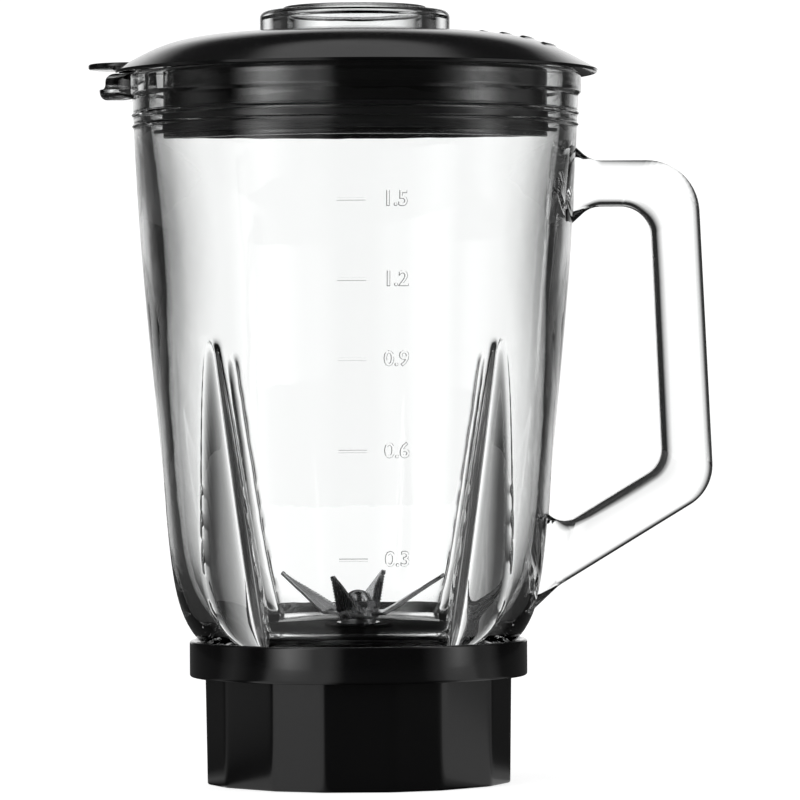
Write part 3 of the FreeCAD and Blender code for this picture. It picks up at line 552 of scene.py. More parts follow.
BLACK = (0.005, 0.005, 0.0055)
BLACK_WORN = (0.010, 0.010, 0.0105)
FINISHES = {
    Slot.BLACK_GLOSS: Moulded("gloss_black_plastic", BLACK, BLACK_WORN, 0.10, 0.17, 2500, 0.002,
                              scuff=0.05, coat=0.3),
    Slot.BLACK_MATT: Moulded("matt_black_plastic", (0.006, 0.006, 0.006), BLACK, 0.6, 0.75,
                             1800, 0.03, scuff=0.08, bend=1.2),
    Slot.SILICONE: Moulded("grey_silicone", (0.030, 0.030, 0.032), (0.05, 0.05, 0.05), 0.4, 0.55,
                           1200, 0.02),
    Slot.RUBBER_BLACK: Moulded("black_rubber", (0.014, 0.014, 0.014), (0.024, 0.024, 0.024),
                               0.5, 0.7, 1500, 0.03),
    Slot.COUPLING_BLACK: Moulded("coupling_plastic", (0.02, 0.02, 0.02), (0.04, 0.04, 0.04),
                                 0.35, 0.5, 1400, 0.03, scuff=0.1),
    Slot.CLEAR_GLASS: Moulded("clear_pressed_glass", (0.988, 0.993, 0.991), (0.982, 0.989, 0.986),
                              0.0, 0.012, 60, 0.05, clear=1.0, bend=1.52, drift=12.0),
    Slot.CLEAR_PLASTIC: Moulded("clear_cap_plastic", (0.97, 0.975, 0.975), (0.95, 0.96, 0.96),
                                0.0, 0.03, 110, 0.03, scuff=0.03, clear=1.0, bend=1.49),
    Slot.BRONZE: Metal("sintered_bronze", (0.50, 0.33, 0.16), 0.3, 0.5, 4.0, 0.01),
    Slot.STEEL: Metal("turned_steel", (0.60, 0.60, 0.61), 0.14, 0.3, 5.0, 0.004),
    Slot.SPRING_STEEL: Metal("spring_steel", (0.35, 0.35, 0.36), 0.25, 0.4, 4.0, 0.004),
    Slot.BLADE_STEEL: Metal("brushed_blade_steel", (0.62, 0.62, 0.63), 0.16, 0.36, 2.4, 0.012,
                            along=True),
}
MATERIALS = {slot: finish.make() for slot, finish in FINISHES.items()}


# ------------------------------------------------------------------ making pieces

def mesh_of(name: str, surfaces: list[Surface]) -> bpy.types.Mesh:
    """Return one mesh of the surfaces in metres, its seams and poles closed, facing outwards.

    Args:
        name: The mesh's name.
        surfaces: The surfaces, each closed by itself.

    Returns:
        The mesh, with the map "lines" where a surface has one.
    """
    places, faces, maps = [], [], []
    for surface in surfaces:
        faces.append(surface.faces() + sum(len(part) for part in places))
        places.append(surface.points.reshape(-1, 3))
        count = len(places[-1])
        maps.append(np.zeros((count, 2)) if surface.uv is None else surface.uv.reshape(-1, 2))
    mesh = bpy.data.meshes.new(name)
    mesh.from_pydata(np.concatenate(places) * METRES, [], np.concatenate(faces))
    corner = np.zeros(len(mesh.loops), np.int32)
    mesh.loops.foreach_get("vertex_index", corner)
    layer = mesh.uv_layers.new(name="lines")
    layer.data.foreach_set("uv", np.concatenate(maps)[corner].astype(np.float32).ravel())
    tidy(mesh)
    return mesh


def tidy(mesh: bpy.types.Mesh, merge: float = 0.0005) -> None:
    """Merge doubled points closer than merge millimetres and turn every face outwards."""
    shape = bmesh.new()
    shape.from_mesh(mesh)
    bmesh.ops.remove_doubles(shape, verts=shape.verts, dist=merge * METRES)
    bmesh.ops.dissolve_degenerate(shape, edges=shape.edges, dist=merge * METRES)
    bmesh.ops.recalc_face_normals(shape, faces=shape.faces)
    shape.to_mesh(mesh)
    shape.free()


def place_piece(mesh: bpy.types.Mesh, body: str, node: str, slot: Slot,
                crease: float = 32.0, also: tuple[str, ...] = ()) -> bpy.types.Object:
    """Put a finished mesh in the scene in place of a CAD node.

    Args:
        mesh: The finished mesh, in metres.
        body: The body it rides on.
        node: The CAD node it stands for.
        slot: The material slot of its finish.
        crease: The angle between faces above which an edge stays sharp, in degrees.
        also: Further CAD nodes that the same mesh stands for.

    Returns:
        The new object.
    """
    mesh.shade_smooth()
    mesh.set_sharp_from_angle(angle=math.radians(crease))
    mesh.materials.clear()
    mesh.materials.append(MATERIALS[slot])
    piece = bpy.data.objects.new(mesh.name, mesh)
    bpy.context.scene.collection.objects.link(piece)
    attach(piece, body)
    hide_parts(node, *also)
    log.info("%s: %d faces on %s", piece.name, len(mesh.polygons), body)
    return piece


def combined(first: bpy.types.Mesh, second: bpy.types.Mesh, operation: str) -> bpy.types.Mesh:
    """Return the exact union or difference of two closed meshes.

    Args:
        first: The mesh that is kept.
        second: The mesh that is added or taken away.
        operation: "UNION" or "DIFFERENCE".

    Returns:
        The new mesh.
    """
    pair = [bpy.data.objects.new("stock", first), bpy.data.objects.new("tool", second)]
    for item in pair:
        bpy.context.scene.collection.objects.link(item)
    join = pair[0].modifiers.new("join", "BOOLEAN")
    join.operation, join.object, join.solver = operation, pair[1], "EXACT"
    join.use_self = False
    bpy.context.view_layer.update()
    seen = pair[0].evaluated_get(bpy.context.evaluated_depsgraph_get())
    result = bpy.data.meshes.new_from_object(seen)
    result.name = first.name
    for item in pair:
        bpy.data.objects.remove(item)
    return result


# ------------------------------------------------------------------ glass jug

@dataclass
class GlassJug:
    """The pressed glass jug with its handle, spout, inner ribs and volume scale."""

    columns: int = 264
    neck_radius: float = 43.0
    bore_radius: float = 37.0
    neck_foot: float = 24.2
    neck_head: float = 37.5
    flare_radius: float = 46.6
    flare_height: float = 41.1
    rim_foot: float = 218.6
    rim_radius: float = 72.3
    rim_height: float = 226.5
    rim_edge: float = 1.6
    mouth_radius: float = 66.4
    relief_height: float = 211.3
    relief_gap: float = 3.6
    relief_depth: float = 0.6
    floor_height: float = 45.5
    rib_top: float = 143.0
    rib_foot: float = 42.5
    ridge_radii: tuple[float, float] = (37.4, 60.2)
    rib_roots: tuple[float, float] = (49.8, 61.6)
    rib_halves: tuple[float, float] = (10.5, 0.9)
    rib_blend: float = 0.7
    ridge_round: float = 0.03
    handle_top: float = 198.0
    handle_under: float = 183.4
    handle_reach: float = 109.0
    handle_depth: float = 17.0
    handle_edge: float = 4.0
    mark_levels: tuple[float, ...] = (72.8, 106.4, 134.8, 159.4, 184.0)
    mark_texts: tuple[str, ...] = ("0.3", "0.6", "0.9", "1.2", "1.5")
    mark_width: float = 8.8
    mark_thickness: float = 0.9
    mark_relief: float = 0.35
    numeral_size: float = 6.6
    numeral_start: float = 8.8
    numeral_depth: float = 0.6
    numeral_relief: float = 0.32
    numeral_slope: float = 0.18

    def outside(self) -> Array:
        """Return the outer wall's outline: a spline with two small beads below the rim."""
        wall = smooth_curve([
            (self.flare_radius, self.flare_height), (52.8, 47.7), (57.4, 57.9), (59.3, 67.5),
            (61.9, 95.0), (65.5, 133.0), (68.8, 171.0), (70.7, 204.0), (71.3, self.rim_foot)],
            600)
        levels = np.unique(np.concatenate([
            np.linspace(self.flare_height, self.rim_foot, 76),
            np.linspace(self.relief_height - 3.4, self.relief_height + 3.4, 32)]))
        radius = np.interp(levels, wall[:, 1], wall[:, 0])
        for side in (-0.5, 0.5):
            middle = self.relief_height + side * self.relief_gap
            radius += self.relief_depth * np.exp(-((levels - middle) / 0.5) ** 2)
        return np.stack([radius, levels], -1)

    def inside(self) -> Array:
        """Return the inner wall's outline from the rim down to the bore."""
        wall = smooth_curve([
            (self.bore_radius, self.floor_height), (47.0, 50.7), (52.7, 60.0), (55.9, 74.0),
            (57.9, 95.0), (60.4, 133.0), (62.2, 180.0), (65.0, 204.0),
            (self.mouth_radius, self.rim_height - 1.2)], 116)
        return wall[::-1]

    def ribbed(self, radius: Array, height: Array, angle: Array) -> tuple[Array, Array]:
        """Draw the inner wall in over four ribs.

        A rib is a wedge whose ridge and roots run on straight lines from foot to top. At an
        angle t from its middle its side has radius ridge / (cos t - m |sin t|), with m the
        side's slope, and the wall is the lesser of that and its own radius, rounded over.
        """
        share = np.clip((height - self.rib_foot) / (self.rib_top - self.rib_foot), 0, 1)
        ridge = self.ridge_radii[0] + share * (self.ridge_radii[1] - self.ridge_radii[0])
        root = self.rib_roots[0] + share * (self.rib_roots[1] - self.rib_roots[0])
        half = self.rib_halves[0] + share * (self.rib_halves[1] - self.rib_halves[0])
        ridge = ridge + np.clip(height - self.rib_top + 5, 0, None) * 0.5
        slope = np.clip(root - ridge, 0.05, None) / half
        turn = angle % (math.pi / 2) - math.pi / 4
        across = np.sqrt(np.sin(turn) ** 2 + self.ridge_round ** 2) - self.ridge_round
        side = ridge / np.clip(np.cos(turn) - slope * across, 0.05, None)
        inner = self._inner[:, None] & (height < self.rib_top + 8)
        return np.where(inner, soft_least(radius, side, self.rib_blend), radius), height

    def wall(self) -> Surface:
        """Return the jug's body as one closed turned surface with its ribs."""
        low = filleted([
            (self.bore_radius, self.floor_height - 4, 0), (self.bore_radius, self.neck_foot, 0.8),
            (self.neck_radius, self.neck_foot, 0.8), (self.neck_radius, self.neck_head, 1.5),
            (self.flare_radius, self.flare_height, 0)], closed=False)
        rim = filleted([
            (71.3, self.rim_foot, 0), (self.rim_radius, self.rim_foot + 1.2, 1.0),
            (self.rim_radius, self.rim_height, self.rim_edge),
            (self.mouth_radius, self.rim_height, 1.1),
            (self.mouth_radius, self.rim_height - 1.2, 0)], closed=False)
        parts = [low[:-1], self.outside(), rim[1:-1], self.inside()]
        self._inner = np.concatenate([np.full(len(part), part is parts[3]) for part in parts])
        return turned(np.concatenate(parts), self.columns, self.ribbed, crowd=0.6)

    def handle(self) -> Surface:
        """Return the handle: a rounded oblong carried between an outer and an inner outline.

        Both outlines have the same bends in the same order, so each step joins a point of one
        to a point of the other. The oblong's corners are arcs about the corners of a smaller
        oblong, and both ends close inside the glass of the wall.
        """
        top, under, reach = self.handle_top, self.handle_under, self.handle_reach
        outer = filleted([(66.8, top + 7.5, 0), (75.0, top, 9.0), (reach, top, 17.0),
                          (113.8, 92.6, 15.0), (64.0, 62.3, 9.0), (54.6, 53.5, 0)],
                         closed=False, steps=14)
        inner = filleted([(66.8, under - 7.5, 0), (75.0, under, 9.0), (94.0, under, 10.2),
                          (97.4, 100.9, 9.0), (65.5, 81.5, 9.0), (57.6, 88.0, 0)],
                         closed=False, steps=14)
        outer, inner = (self._denser(line) for line in (outer, inner))
        middle, arm = (outer + inner) / 2, (outer - inner) / 2
        half = np.linalg.norm(arm, axis=1, keepdims=True)
        way = arm / half
        edge, deep = self.handle_edge, self.handle_depth / 2
        turn = np.linspace(0, 2 * math.pi, 48, endpoint=False)[None, :]
        sign = np.sign(np.cos(turn) + 1e-9), np.sign(np.sin(turn) + 1e-9)
        out = sign[0] * (half - edge) + edge * np.cos(turn)
        side = sign[1] * (deep - edge) + edge * np.sin(turn) + 0 * half
        points = np.stack([middle[:, :1] + way[:, :1] * out, side,
                           middle[:, 1:] + way[:, 1:] * out], -1)
        ends = points[[0, -1]].mean(axis=1, keepdims=True) + 0 * points[[0, -1]]
        return Surface(np.concatenate([ends[:1], points, ends[1:]]), wrap_rows=False)

    def _denser(self, line: Array, parts: int = 5) -> Array:
        """Return the line with each of its steps divided into equal parts."""
        way = np.linspace(0, len(line) - 1, (len(line) - 1) * parts + 1)
        return np.stack([np.interp(way, np.arange(len(line)), line[:, k]) for k in (0, 1)], -1)

    def radius_at(self, height: float) -> float:
        """Return the outer radius at a height."""
        outline = self.outside()
        return float(np.interp(height, outline[:, 1], outline[:, 0]))

    def marks(self) -> list[Surface]:
        """Return the raised dashes of the volume scale, bent round the wall."""
        dashes = []
        half = self.mark_thickness / 2
        for level in self.mark_levels:
            low = self.radius_at(level)
            section = filleted([(low - 1.2, level - half, 0), (low + self.mark_relief,
                               level - half, 0.25), (low + self.mark_relief, level + half, 0.25),
                               (low - 1.2, level + half, 0)], steps=3)
            start, end = -0.6 * self.mark_width / low, 0.4 * self.mark_width / low
            turn = np.linspace(start, end, 10)[:, None] - math.pi / 2
            radius = section[None, :, 0] + 0 * turn
            points = np.stack([radius * np.cos(turn), radius * np.sin(turn),
                               section[None, :, 1] + 0 * turn], -1)
            ends = points[[0, -1]].mean(axis=1, keepdims=True) + 0 * points[[0, -1]]
            dashes.append(Surface(np.concatenate([ends[:1], points, ends[1:]]), False))
        return dashes

    def numeral(self, text: str, level: float) -> bpy.types.Mesh:
        """Return raised numerals bent round the wall beside their dash.

        A point at (x, z) of the flat text goes to angle x / radius and height z, and its depth
        is added to the wall's radius.

        Args:
            text: The numerals.
            level: The height of their middle.

        Returns:
            The closed mesh, in metres.
        """
        font = bpy.data.curves.new("numeral", "FONT")
        font.body, font.size, font.extrude = text, self.numeral_size, self.numeral_depth
        font.bevel_depth, font.bevel_resolution = self.numeral_slope, 0
        font.resolution_u, font.align_x, font.align_y = 3, "LEFT", "CENTER"
        source = bpy.data.objects.new("numeral", font)
        mesh = bpy.data.meshes.new_from_object(source)
        bpy.data.objects.remove(source)
        flat = np.zeros(len(mesh.vertices) * 3, np.float32)
        mesh.vertices.foreach_get("co", flat)
        across, up, depth = flat.reshape(-1, 3).T
        low = self.radius_at(level)
        turn = (across + self.numeral_start) / low - math.pi / 2
        skin = np.interp(level + up, *self.outside().T[::-1])
        radius = skin + depth - depth.max() + self.numeral_relief
        bent = np.stack([radius * np.cos(turn), radius * np.sin(turn), level + up], -1)
        mesh.vertices.foreach_set("co", (bent * METRES).astype(np.float32).ravel())
        tidy(mesh)
        return mesh

    def build(self) -> bpy.types.Object:
        """Make the jug in one piece: body, handle, spout, lugs and scale, then the channel."""
        lugs = [climbing_lug(self.neck_radius - 1, 44.6, 28.5, 3.0, 12.0, 50.0, 30 + 120 * turn)
                for turn in range(3)]
        spout = nosed_block(81.8, 68.0, 27.0, (218.2, self.rim_height - 0.05), 2.6)
        body = mesh_of("jug_glass", [self.wall()])
        extras = mesh_of("jug_extras", [self.handle(), spout, *lugs, *self.marks()])
        shape = bmesh.new()
        shape.from_mesh(extras)
        for text, level in zip(self.mark_texts, self.mark_levels):
            shape.from_mesh(self.numeral(text, level))
        shape.to_mesh(extras)
        shape.free()
        whole = combined(body, extras, "UNION")
        channel = mesh_of("channel", [nosed_block(101.8, 60.0, 15.0, (221.5, 228.5), 1.6)])
        whole = combined(whole, channel, "DIFFERENCE")
        whole.name = "jug_glass"
        return place_piece(whole, "jug", "glass_jug", Slot.CLEAR_GLASS, crease=28.0,
                           also=("glass_handle",))


# ------------------------------------------------------------------ collar

@dataclass
class BaseCollar:
    """The screw collar: a smooth ring on a skirt of sixteen flats, wide and narrow in turn."""

    columns: int = 576
    height: float = 45.5
    ring_foot: float = 33.9
    ring_radius: float = 54.0
    skirt_foot_radius: float = 49.4
    skirt_head_radius: float = 49.9
    wide_angle: float = 25.5

    def flat_sided(self, radius: Array, height: Array, angle: Array) -> tuple[Array, Array]:
        """Draw the skirt's outside in to the sixteen flats, and leave every other row."""
        narrow = 45.0 - self.wide_angle
        middles = np.radians(-90 + 22.5 * np.arange(16))
        halves = np.radians(np.where(np.arange(16) % 2 == 0, self.wide_angle, narrow) / 2)
        share = polygon_radius(angle[:1], middles, np.cos(halves), 0.004)
        skirt = (radius > self.skirt_foot_radius - 1.2) & (height < self.ring_foot + 0.05)
        skirt &= radius < self.skirt_head_radius + 0.05
        return np.where(skirt, radius * share, radius), height

    def build(self) -> bpy.types.Object:
        """Make the collar with its stepped bore and three inner lugs."""
        outline = filleted([
            (self.skirt_foot_radius, 0.0, 0.7), (self.skirt_head_radius, self.ring_foot, 0.0),
            (self.ring_radius, self.ring_foot, 0.8), (self.ring_radius, self.height, 0.9),
            (52.4, self.height, 0.3), (45.2, 38.0, 0.5), (45.2, 20.0, 0.3), (36.0, 20.0, 0.3),
            (36.0, 17.0, 0.3), (42.5, 17.0, 0.5), (42.5, 6.0, 0.3), (45.0, 6.0, 0.3),
            (45.0, 0.0, 0.5)])
        shell = turned(outline, self.columns, self.flat_sided)
        lugs = [climbing_lug(43.5, 46.2, 31.8, 3.0, 12.0, 50.0, 30 + 120 * turn)
                for turn in range(3)]
        mesh = mesh_of("collar_black", [shell, *lugs])
        return place_piece(mesh, "collar", "base_collar", Slot.BLACK_GLOSS, crease=22.0)


# ------------------------------------------------------------------ turned pieces

@dataclass
class TurnedPart:
    """A plain turned part with broken edges.

    Attributes:
        node: The CAD node it stands for.
        body: The body it rides on.
        slot: Its material slot.
        corners: The corners (radius, height, bend) of its section.
        columns: The number of steps round the axis.
    """

    node: str
    body: str
    slot: Slot
    corners: list[Corner]
    columns: int = 128

    def build(self) -> bpy.types.Object:
        """Make the part from its section."""
        mesh = mesh_of(self.node + "_finish", [turned(filleted(self.corners), self.columns)])
        return place_piece(mesh, self.body, self.node, self.slot)


def sleeve(inner: float, outer: float, foot: float, head: float, edge: float) -> list[Corner]:
    """Return the corners of a ring's section, all with the same edge."""
    return [(inner, foot, edge), (outer, foot, edge), (outer, head, edge), (inner, head, edge)]


TURNED_PARTS = [
    TurnedPart("blade_carrier", "collar", Slot.BLACK_MATT, [
        (7.0, 19.5, 0.2), (11.0, 19.5, 0.4), (11.0, 40.1, 1.2), (33.8, 38.1, 1.5),
        (33.8, 20.0, 0.3), (44.8, 20.0, 0.4), (44.8, 22.2, 0.4), (36.3, 22.2, 0.6),
        (36.3, 40.6, 1.6), (11.0, 42.6, 1.0), (11.0, 44.6, 0.5), (7.0, 44.6, 0.2)], 192),
    TurnedPart("jug_gasket", "gasket", Slot.SILICONE, sleeve(37.6, 42.6, 22.2, 24.1, 0.6), 192),
    TurnedPart("lower_bush", "collar", Slot.BRONZE, sleeve(4.05, 7.0, 19.5, 26.5, 0.2), 72),
    TurnedPart("upper_bush", "collar", Slot.BRONZE, sleeve(4.05, 7.0, 35.8, 42.8, 0.2), 72),
    TurnedPart("shaft_seal", "collar", Slot.RUBBER_BLACK, sleeve(4.05, 7.0, 42.8, 44.6, 0.3), 72),
    TurnedPart("lower_thrust_washer", "knives", Slot.STEEL,
               sleeve(4.05, 7.0, 18.9, 19.5, 0.1), 72),
    TurnedPart("upper_thrust_washer", "knives", Slot.STEEL,
               sleeve(4.05, 7.0, 44.6, 45.2, 0.1), 72),
    TurnedPart("blade_seat", "knives", Slot.STEEL, sleeve(4.0, 5.8, 45.2, 48.0, 0.3), 72),
    TurnedPart("blade_washer", "knives", Slot.STEEL, sleeve(4.0, 5.0, 51.9, 52.5, 0.1), 72),
    TurnedPart("coupling_washer", "knives", Slot.STEEL, sleeve(4.0, 6.4, 12.4, 13.0, 0.1), 72),
]


# ------------------------------------------------------------------ knives

@dataclass
class KnifeArm:
    """One bent-up arm of a knife.

    Attributes:
        direction: The way it points, in degrees from +X.
        tilt: The angle that it is bent up, in degrees.
        skew: The angle of the bend line from square across the arm, in degrees.
        bend: The distance of the bend from the axis.
        length: The arm's length beyond the bend.
        root: Its width at the bend.
        tip: Its width at the tip.
    """

    direction: float
    tilt: float
    skew: float
    bend: float
    length: float
    root: float
    tip: float
    thick: float = 1.3
    tooth_pitch: float = 1.15
    tooth_depth: float = 0.5
    tooth_slope: float = 0.7
    grind: float = 2.2
    bend_half: float = 1.1

    def surface(self, level: float) -> Surface:
        """Return the arm: a flat plate with a ground, toothed edge, then bent up.

        Along the arm a tooth climbs to its depth over its slope's share of the pitch and drops
        back at once. The front edge stays straight and the back edge tapers to the tip.

        Args:
            level: The height of the plate's middle at the hub.

        Returns:
            The closed surface, with its length and width as its map.
        """
        start = 4.3 - self.bend
        plain = np.linspace(start, self.length, 60)
        first = 1.0 + self.tooth_pitch * np.arange(int((self.length - 2) / self.tooth_pitch))
        beyond = np.unique(np.concatenate([
            plain, *(first + share * self.tooth_pitch
                     for share in (0.0, 0.35, self.tooth_slope, 0.85, 0.999))]))
        spot = ((beyond - 1.0) / self.tooth_pitch) % 1.0
        toothed = (beyond >= 1.0) & (beyond <= first[-1] + self.tooth_pitch)
        teeth = self.tooth_depth * toothed * np.minimum(
            spot / self.tooth_slope, (1 - spot) / (1 - self.tooth_slope))
        front = teeth - self.root / 2
        taper = np.clip(beyond / self.length, 0, 1)
        back = self.root / 2 + taper * (self.tip - self.root)
        half, soft = self.thick / 2, 0.12
        width = back - front
        ground = np.minimum(self.grind, 0.55 * width) * ease((beyond + 1) / 2) + 0.15
        lip = -half + 0.18 + (self.thick - 0.36) * (1 - ease((beyond + 1) / 2))
        zero = 0 * beyond
        across = np.stack([front, front + ground, (front + back) / 2, back - soft, back, back,
                           back - soft, (front + back) / 2, front + 0.1], -1)
        depth = np.stack([lip, zero + half, zero + half, zero + half, zero + half - soft,
                          zero - half + soft, zero - half, zero - half, zero - half], -1)
        x, y, z = self._bent(beyond[:, None] + 0 * across, across, depth)
        turn, x, z = math.radians(self.direction), x + self.bend, z + level
        points = np.stack([x * math.cos(turn) - y * math.sin(turn),
                           x * math.sin(turn) + y * math.cos(turn), z], -1)
        uv = np.stack([beyond[:, None] + 0 * across, across + depth], -1)
        ends = points[[0, -1]].mean(axis=1, keepdims=True) + 0 * points[[0, -1]]
        return Surface(np.concatenate([ends[:1], points, ends[1:]]), wrap_rows=False,
                       uv=np.concatenate([uv[:1], uv, uv[-1:]]))

    def _bent(self, along: Array, across: Array, depth: Array) -> tuple[Array, Array, Array]:
        """Return x, y and z of a flat plate's points once the arm is bent up.

        A point at distance u past the bend line goes to the running sums of the slope's cosine
        and sine, where the slope climbs smoothly to the tilt about u = 0. Its place along the
        bend line stays, and its depth is laid off square to the slope.
        """
        skew = math.radians(self.skew)
        past = along * math.cos(skew) - across * math.sin(skew)
        beside = along * math.sin(skew) + across * math.cos(skew)
        line = np.linspace(-2 * self.bend, self.length + self.root, 4000)
        slope = math.radians(self.tilt) * ease((line + self.bend_half) / (2 * self.bend_half))
        reach = line[0] + (line[1] - line[0]) * (np.cumsum(np.cos(slope)) - 1)
        rise = (line[1] - line[0]) * np.cumsum(np.sin(slope))
        lean = np.interp(past, line, slope)
        out = np.interp(past, line, reach) - np.sin(lean) * depth
        up = np.interp(past, line, rise) + np.cos(lean) * depth
        return (out * math.cos(skew) + beside * math.sin(skew),
                beside * math.cos(skew) - out * math.sin(skew), up)


@dataclass
class KnifeSet:
    """The three knives on the spindle, with the spindle itself and the domed nut."""

    hub_radius: float = 6.6
    thick: float = 1.3
    hub_foot: float = 48.0
    spindle_radius: float = 4.0
    spindle_foot: float = 7.4
    nut_foot: float = 52.5
    nut_head: float = 55.1
    nut_width: float = 10.0
    dome_radius: float = 4.4

    def arms(self) -> dict[str, list[KnifeArm]]:
        """Return the arms of each knife, from the lowest knife up."""
        return {
            "lower_blade": [KnifeArm(268, 16, 0, 8.0, 15.0, 10.5, 1.6),
                            KnifeArm(88, 12, 0, 8.0, 17.0, 10.5, 1.6)],
            "middle_blade": [KnifeArm(0, 38, 0, 8.4, 24.4, 10.0, 1.8),
                             KnifeArm(156, 41, 30, 8.4, 24.0, 10.0, 1.8)],
            "upper_blade": [KnifeArm(66, 72, 0, 6.8, 15.2, 8.8, 1.2),
                            KnifeArm(246, 72, 0, 6.8, 14.0, 8.8, 1.2)],
        }

    def nut(self) -> Surface:
        """Return the domed nut: six flats with a chamfer, then a round dome over the spindle."""
        corner = self.nut_width / math.sqrt(3)
        rise = np.linspace(0.12, math.pi / 2, 12)
        dome = np.stack([self.dome_radius * np.cos(rise),
                         self.nut_head - 0.6 + self.dome_radius * np.sin(rise)], -1)
        dome[-1, 0] = 0.0
        flats = filleted([(4.0, self.nut_foot, 0), (corner, self.nut_foot, 0.25),
                          (corner, self.nut_head - 0.4, 0.3), (self.dome_radius + 0.3,
                          self.nut_head, 0)], closed=False)
        under = np.array([[0.0, self.nut_foot + 0.6], [4.0, self.nut_foot + 0.6]])
        outline = np.concatenate([flats, dome, under])

        def six_sided(radius: Array, height: Array, angle: Array) -> tuple[Array, Array]:
            """Hold the outline inside the hexagon."""
            flat = polygon_radius(angle, np.radians(30 + 60 * np.arange(6)),
                                  np.full(6, self.nut_width / 2), 0.03)
            return np.minimum(radius, flat), height

        return turned(outline, 144, six_sided)

    def build(self) -> None:
        """Make the knives, the spindle and the nut."""
        for order, (node, arms) in enumerate(self.arms().items()):
            foot = self.hub_foot + order * self.thick
            hub = turned(filleted(sleeve(self.spindle_radius, self.hub_radius, foot,
                                         foot + self.thick, 0.15)), 96)
            hub.uv = hub.points[..., :2]
            surfaces = [hub, *(arm.surface(foot + self.thick / 2) for arm in arms)]
            place_piece(mesh_of(node + "_steel", surfaces), "knives", node, Slot.BLADE_STEEL,
                        crease=20.0)
        rod = filleted([(0.0, self.spindle_foot, 0), (self.spindle_radius, self.spindle_foot,
                       0.6), (self.spindle_radius, self.nut_head - 0.2, 0.3),
                       (0.0, self.nut_head - 0.2, 0)], closed=False)
        place_piece(mesh_of("spindle_steel", [turned(rod, 96)]), "knives", "spindle", Slot.STEEL)
        place_piece(mesh_of("nut_steel", [self.nut()]), "knives", "blade_nut", Slot.STEEL,
                    crease=24.0)


@dataclass
class BrokenEdges:
    """A prismatic CAD part remade with its edges broken.

    Attributes:
        node: The CAD node it is a copy of.
        body: The body it rides on.
        slot: Its material slot.
        edge: The width of the broken edge, in millimetres.
    """

    node: str
    body: str
    slot: Slot
    edge: float

    def build(self) -> bpy.types.Object:
        """Merge a copy of the node's triangles, join flat neighbours and break the edges."""
        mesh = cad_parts[self.node].data.copy()
        mesh.name = self.node + "_finish"
        shape = bmesh.new()
        shape.from_mesh(mesh)
        bmesh.ops.remove_doubles(shape, verts=shape.verts, dist=0.002 * METRES)
        bmesh.ops.dissolve_limit(shape, angle_limit=math.radians(1.0), verts=shape.verts,
                                 edges=shape.edges)
        sharp = [edge for edge in shape.edges if edge.calc_face_angle(0) > math.radians(30)]
        bmesh.ops.bevel(shape, geom=sharp, offset=self.edge * METRES, segments=2, profile=0.5,
                        affect="EDGES", clamp_overlap=True)
        bmesh.ops.recalc_face_normals(shape, faces=shape.faces)
        shape.to_mesh(mesh)
        shape.free()
        return place_piece(mesh, self.body, self.node, self.slot, crease=40.0)


BROKEN_EDGE_PARTS = [
    BrokenEdges("drive_coupling", "knives", Slot.COUPLING_BLACK, 0.3),
    BrokenEdges("retaining_ring", "knives", Slot.SPRING_STEEL, 0.1),
    BrokenEdges("coupling_nut", "knives", Slot.STEEL, 0.2),
]


# ------------------------------------------------------------------ lid and cap

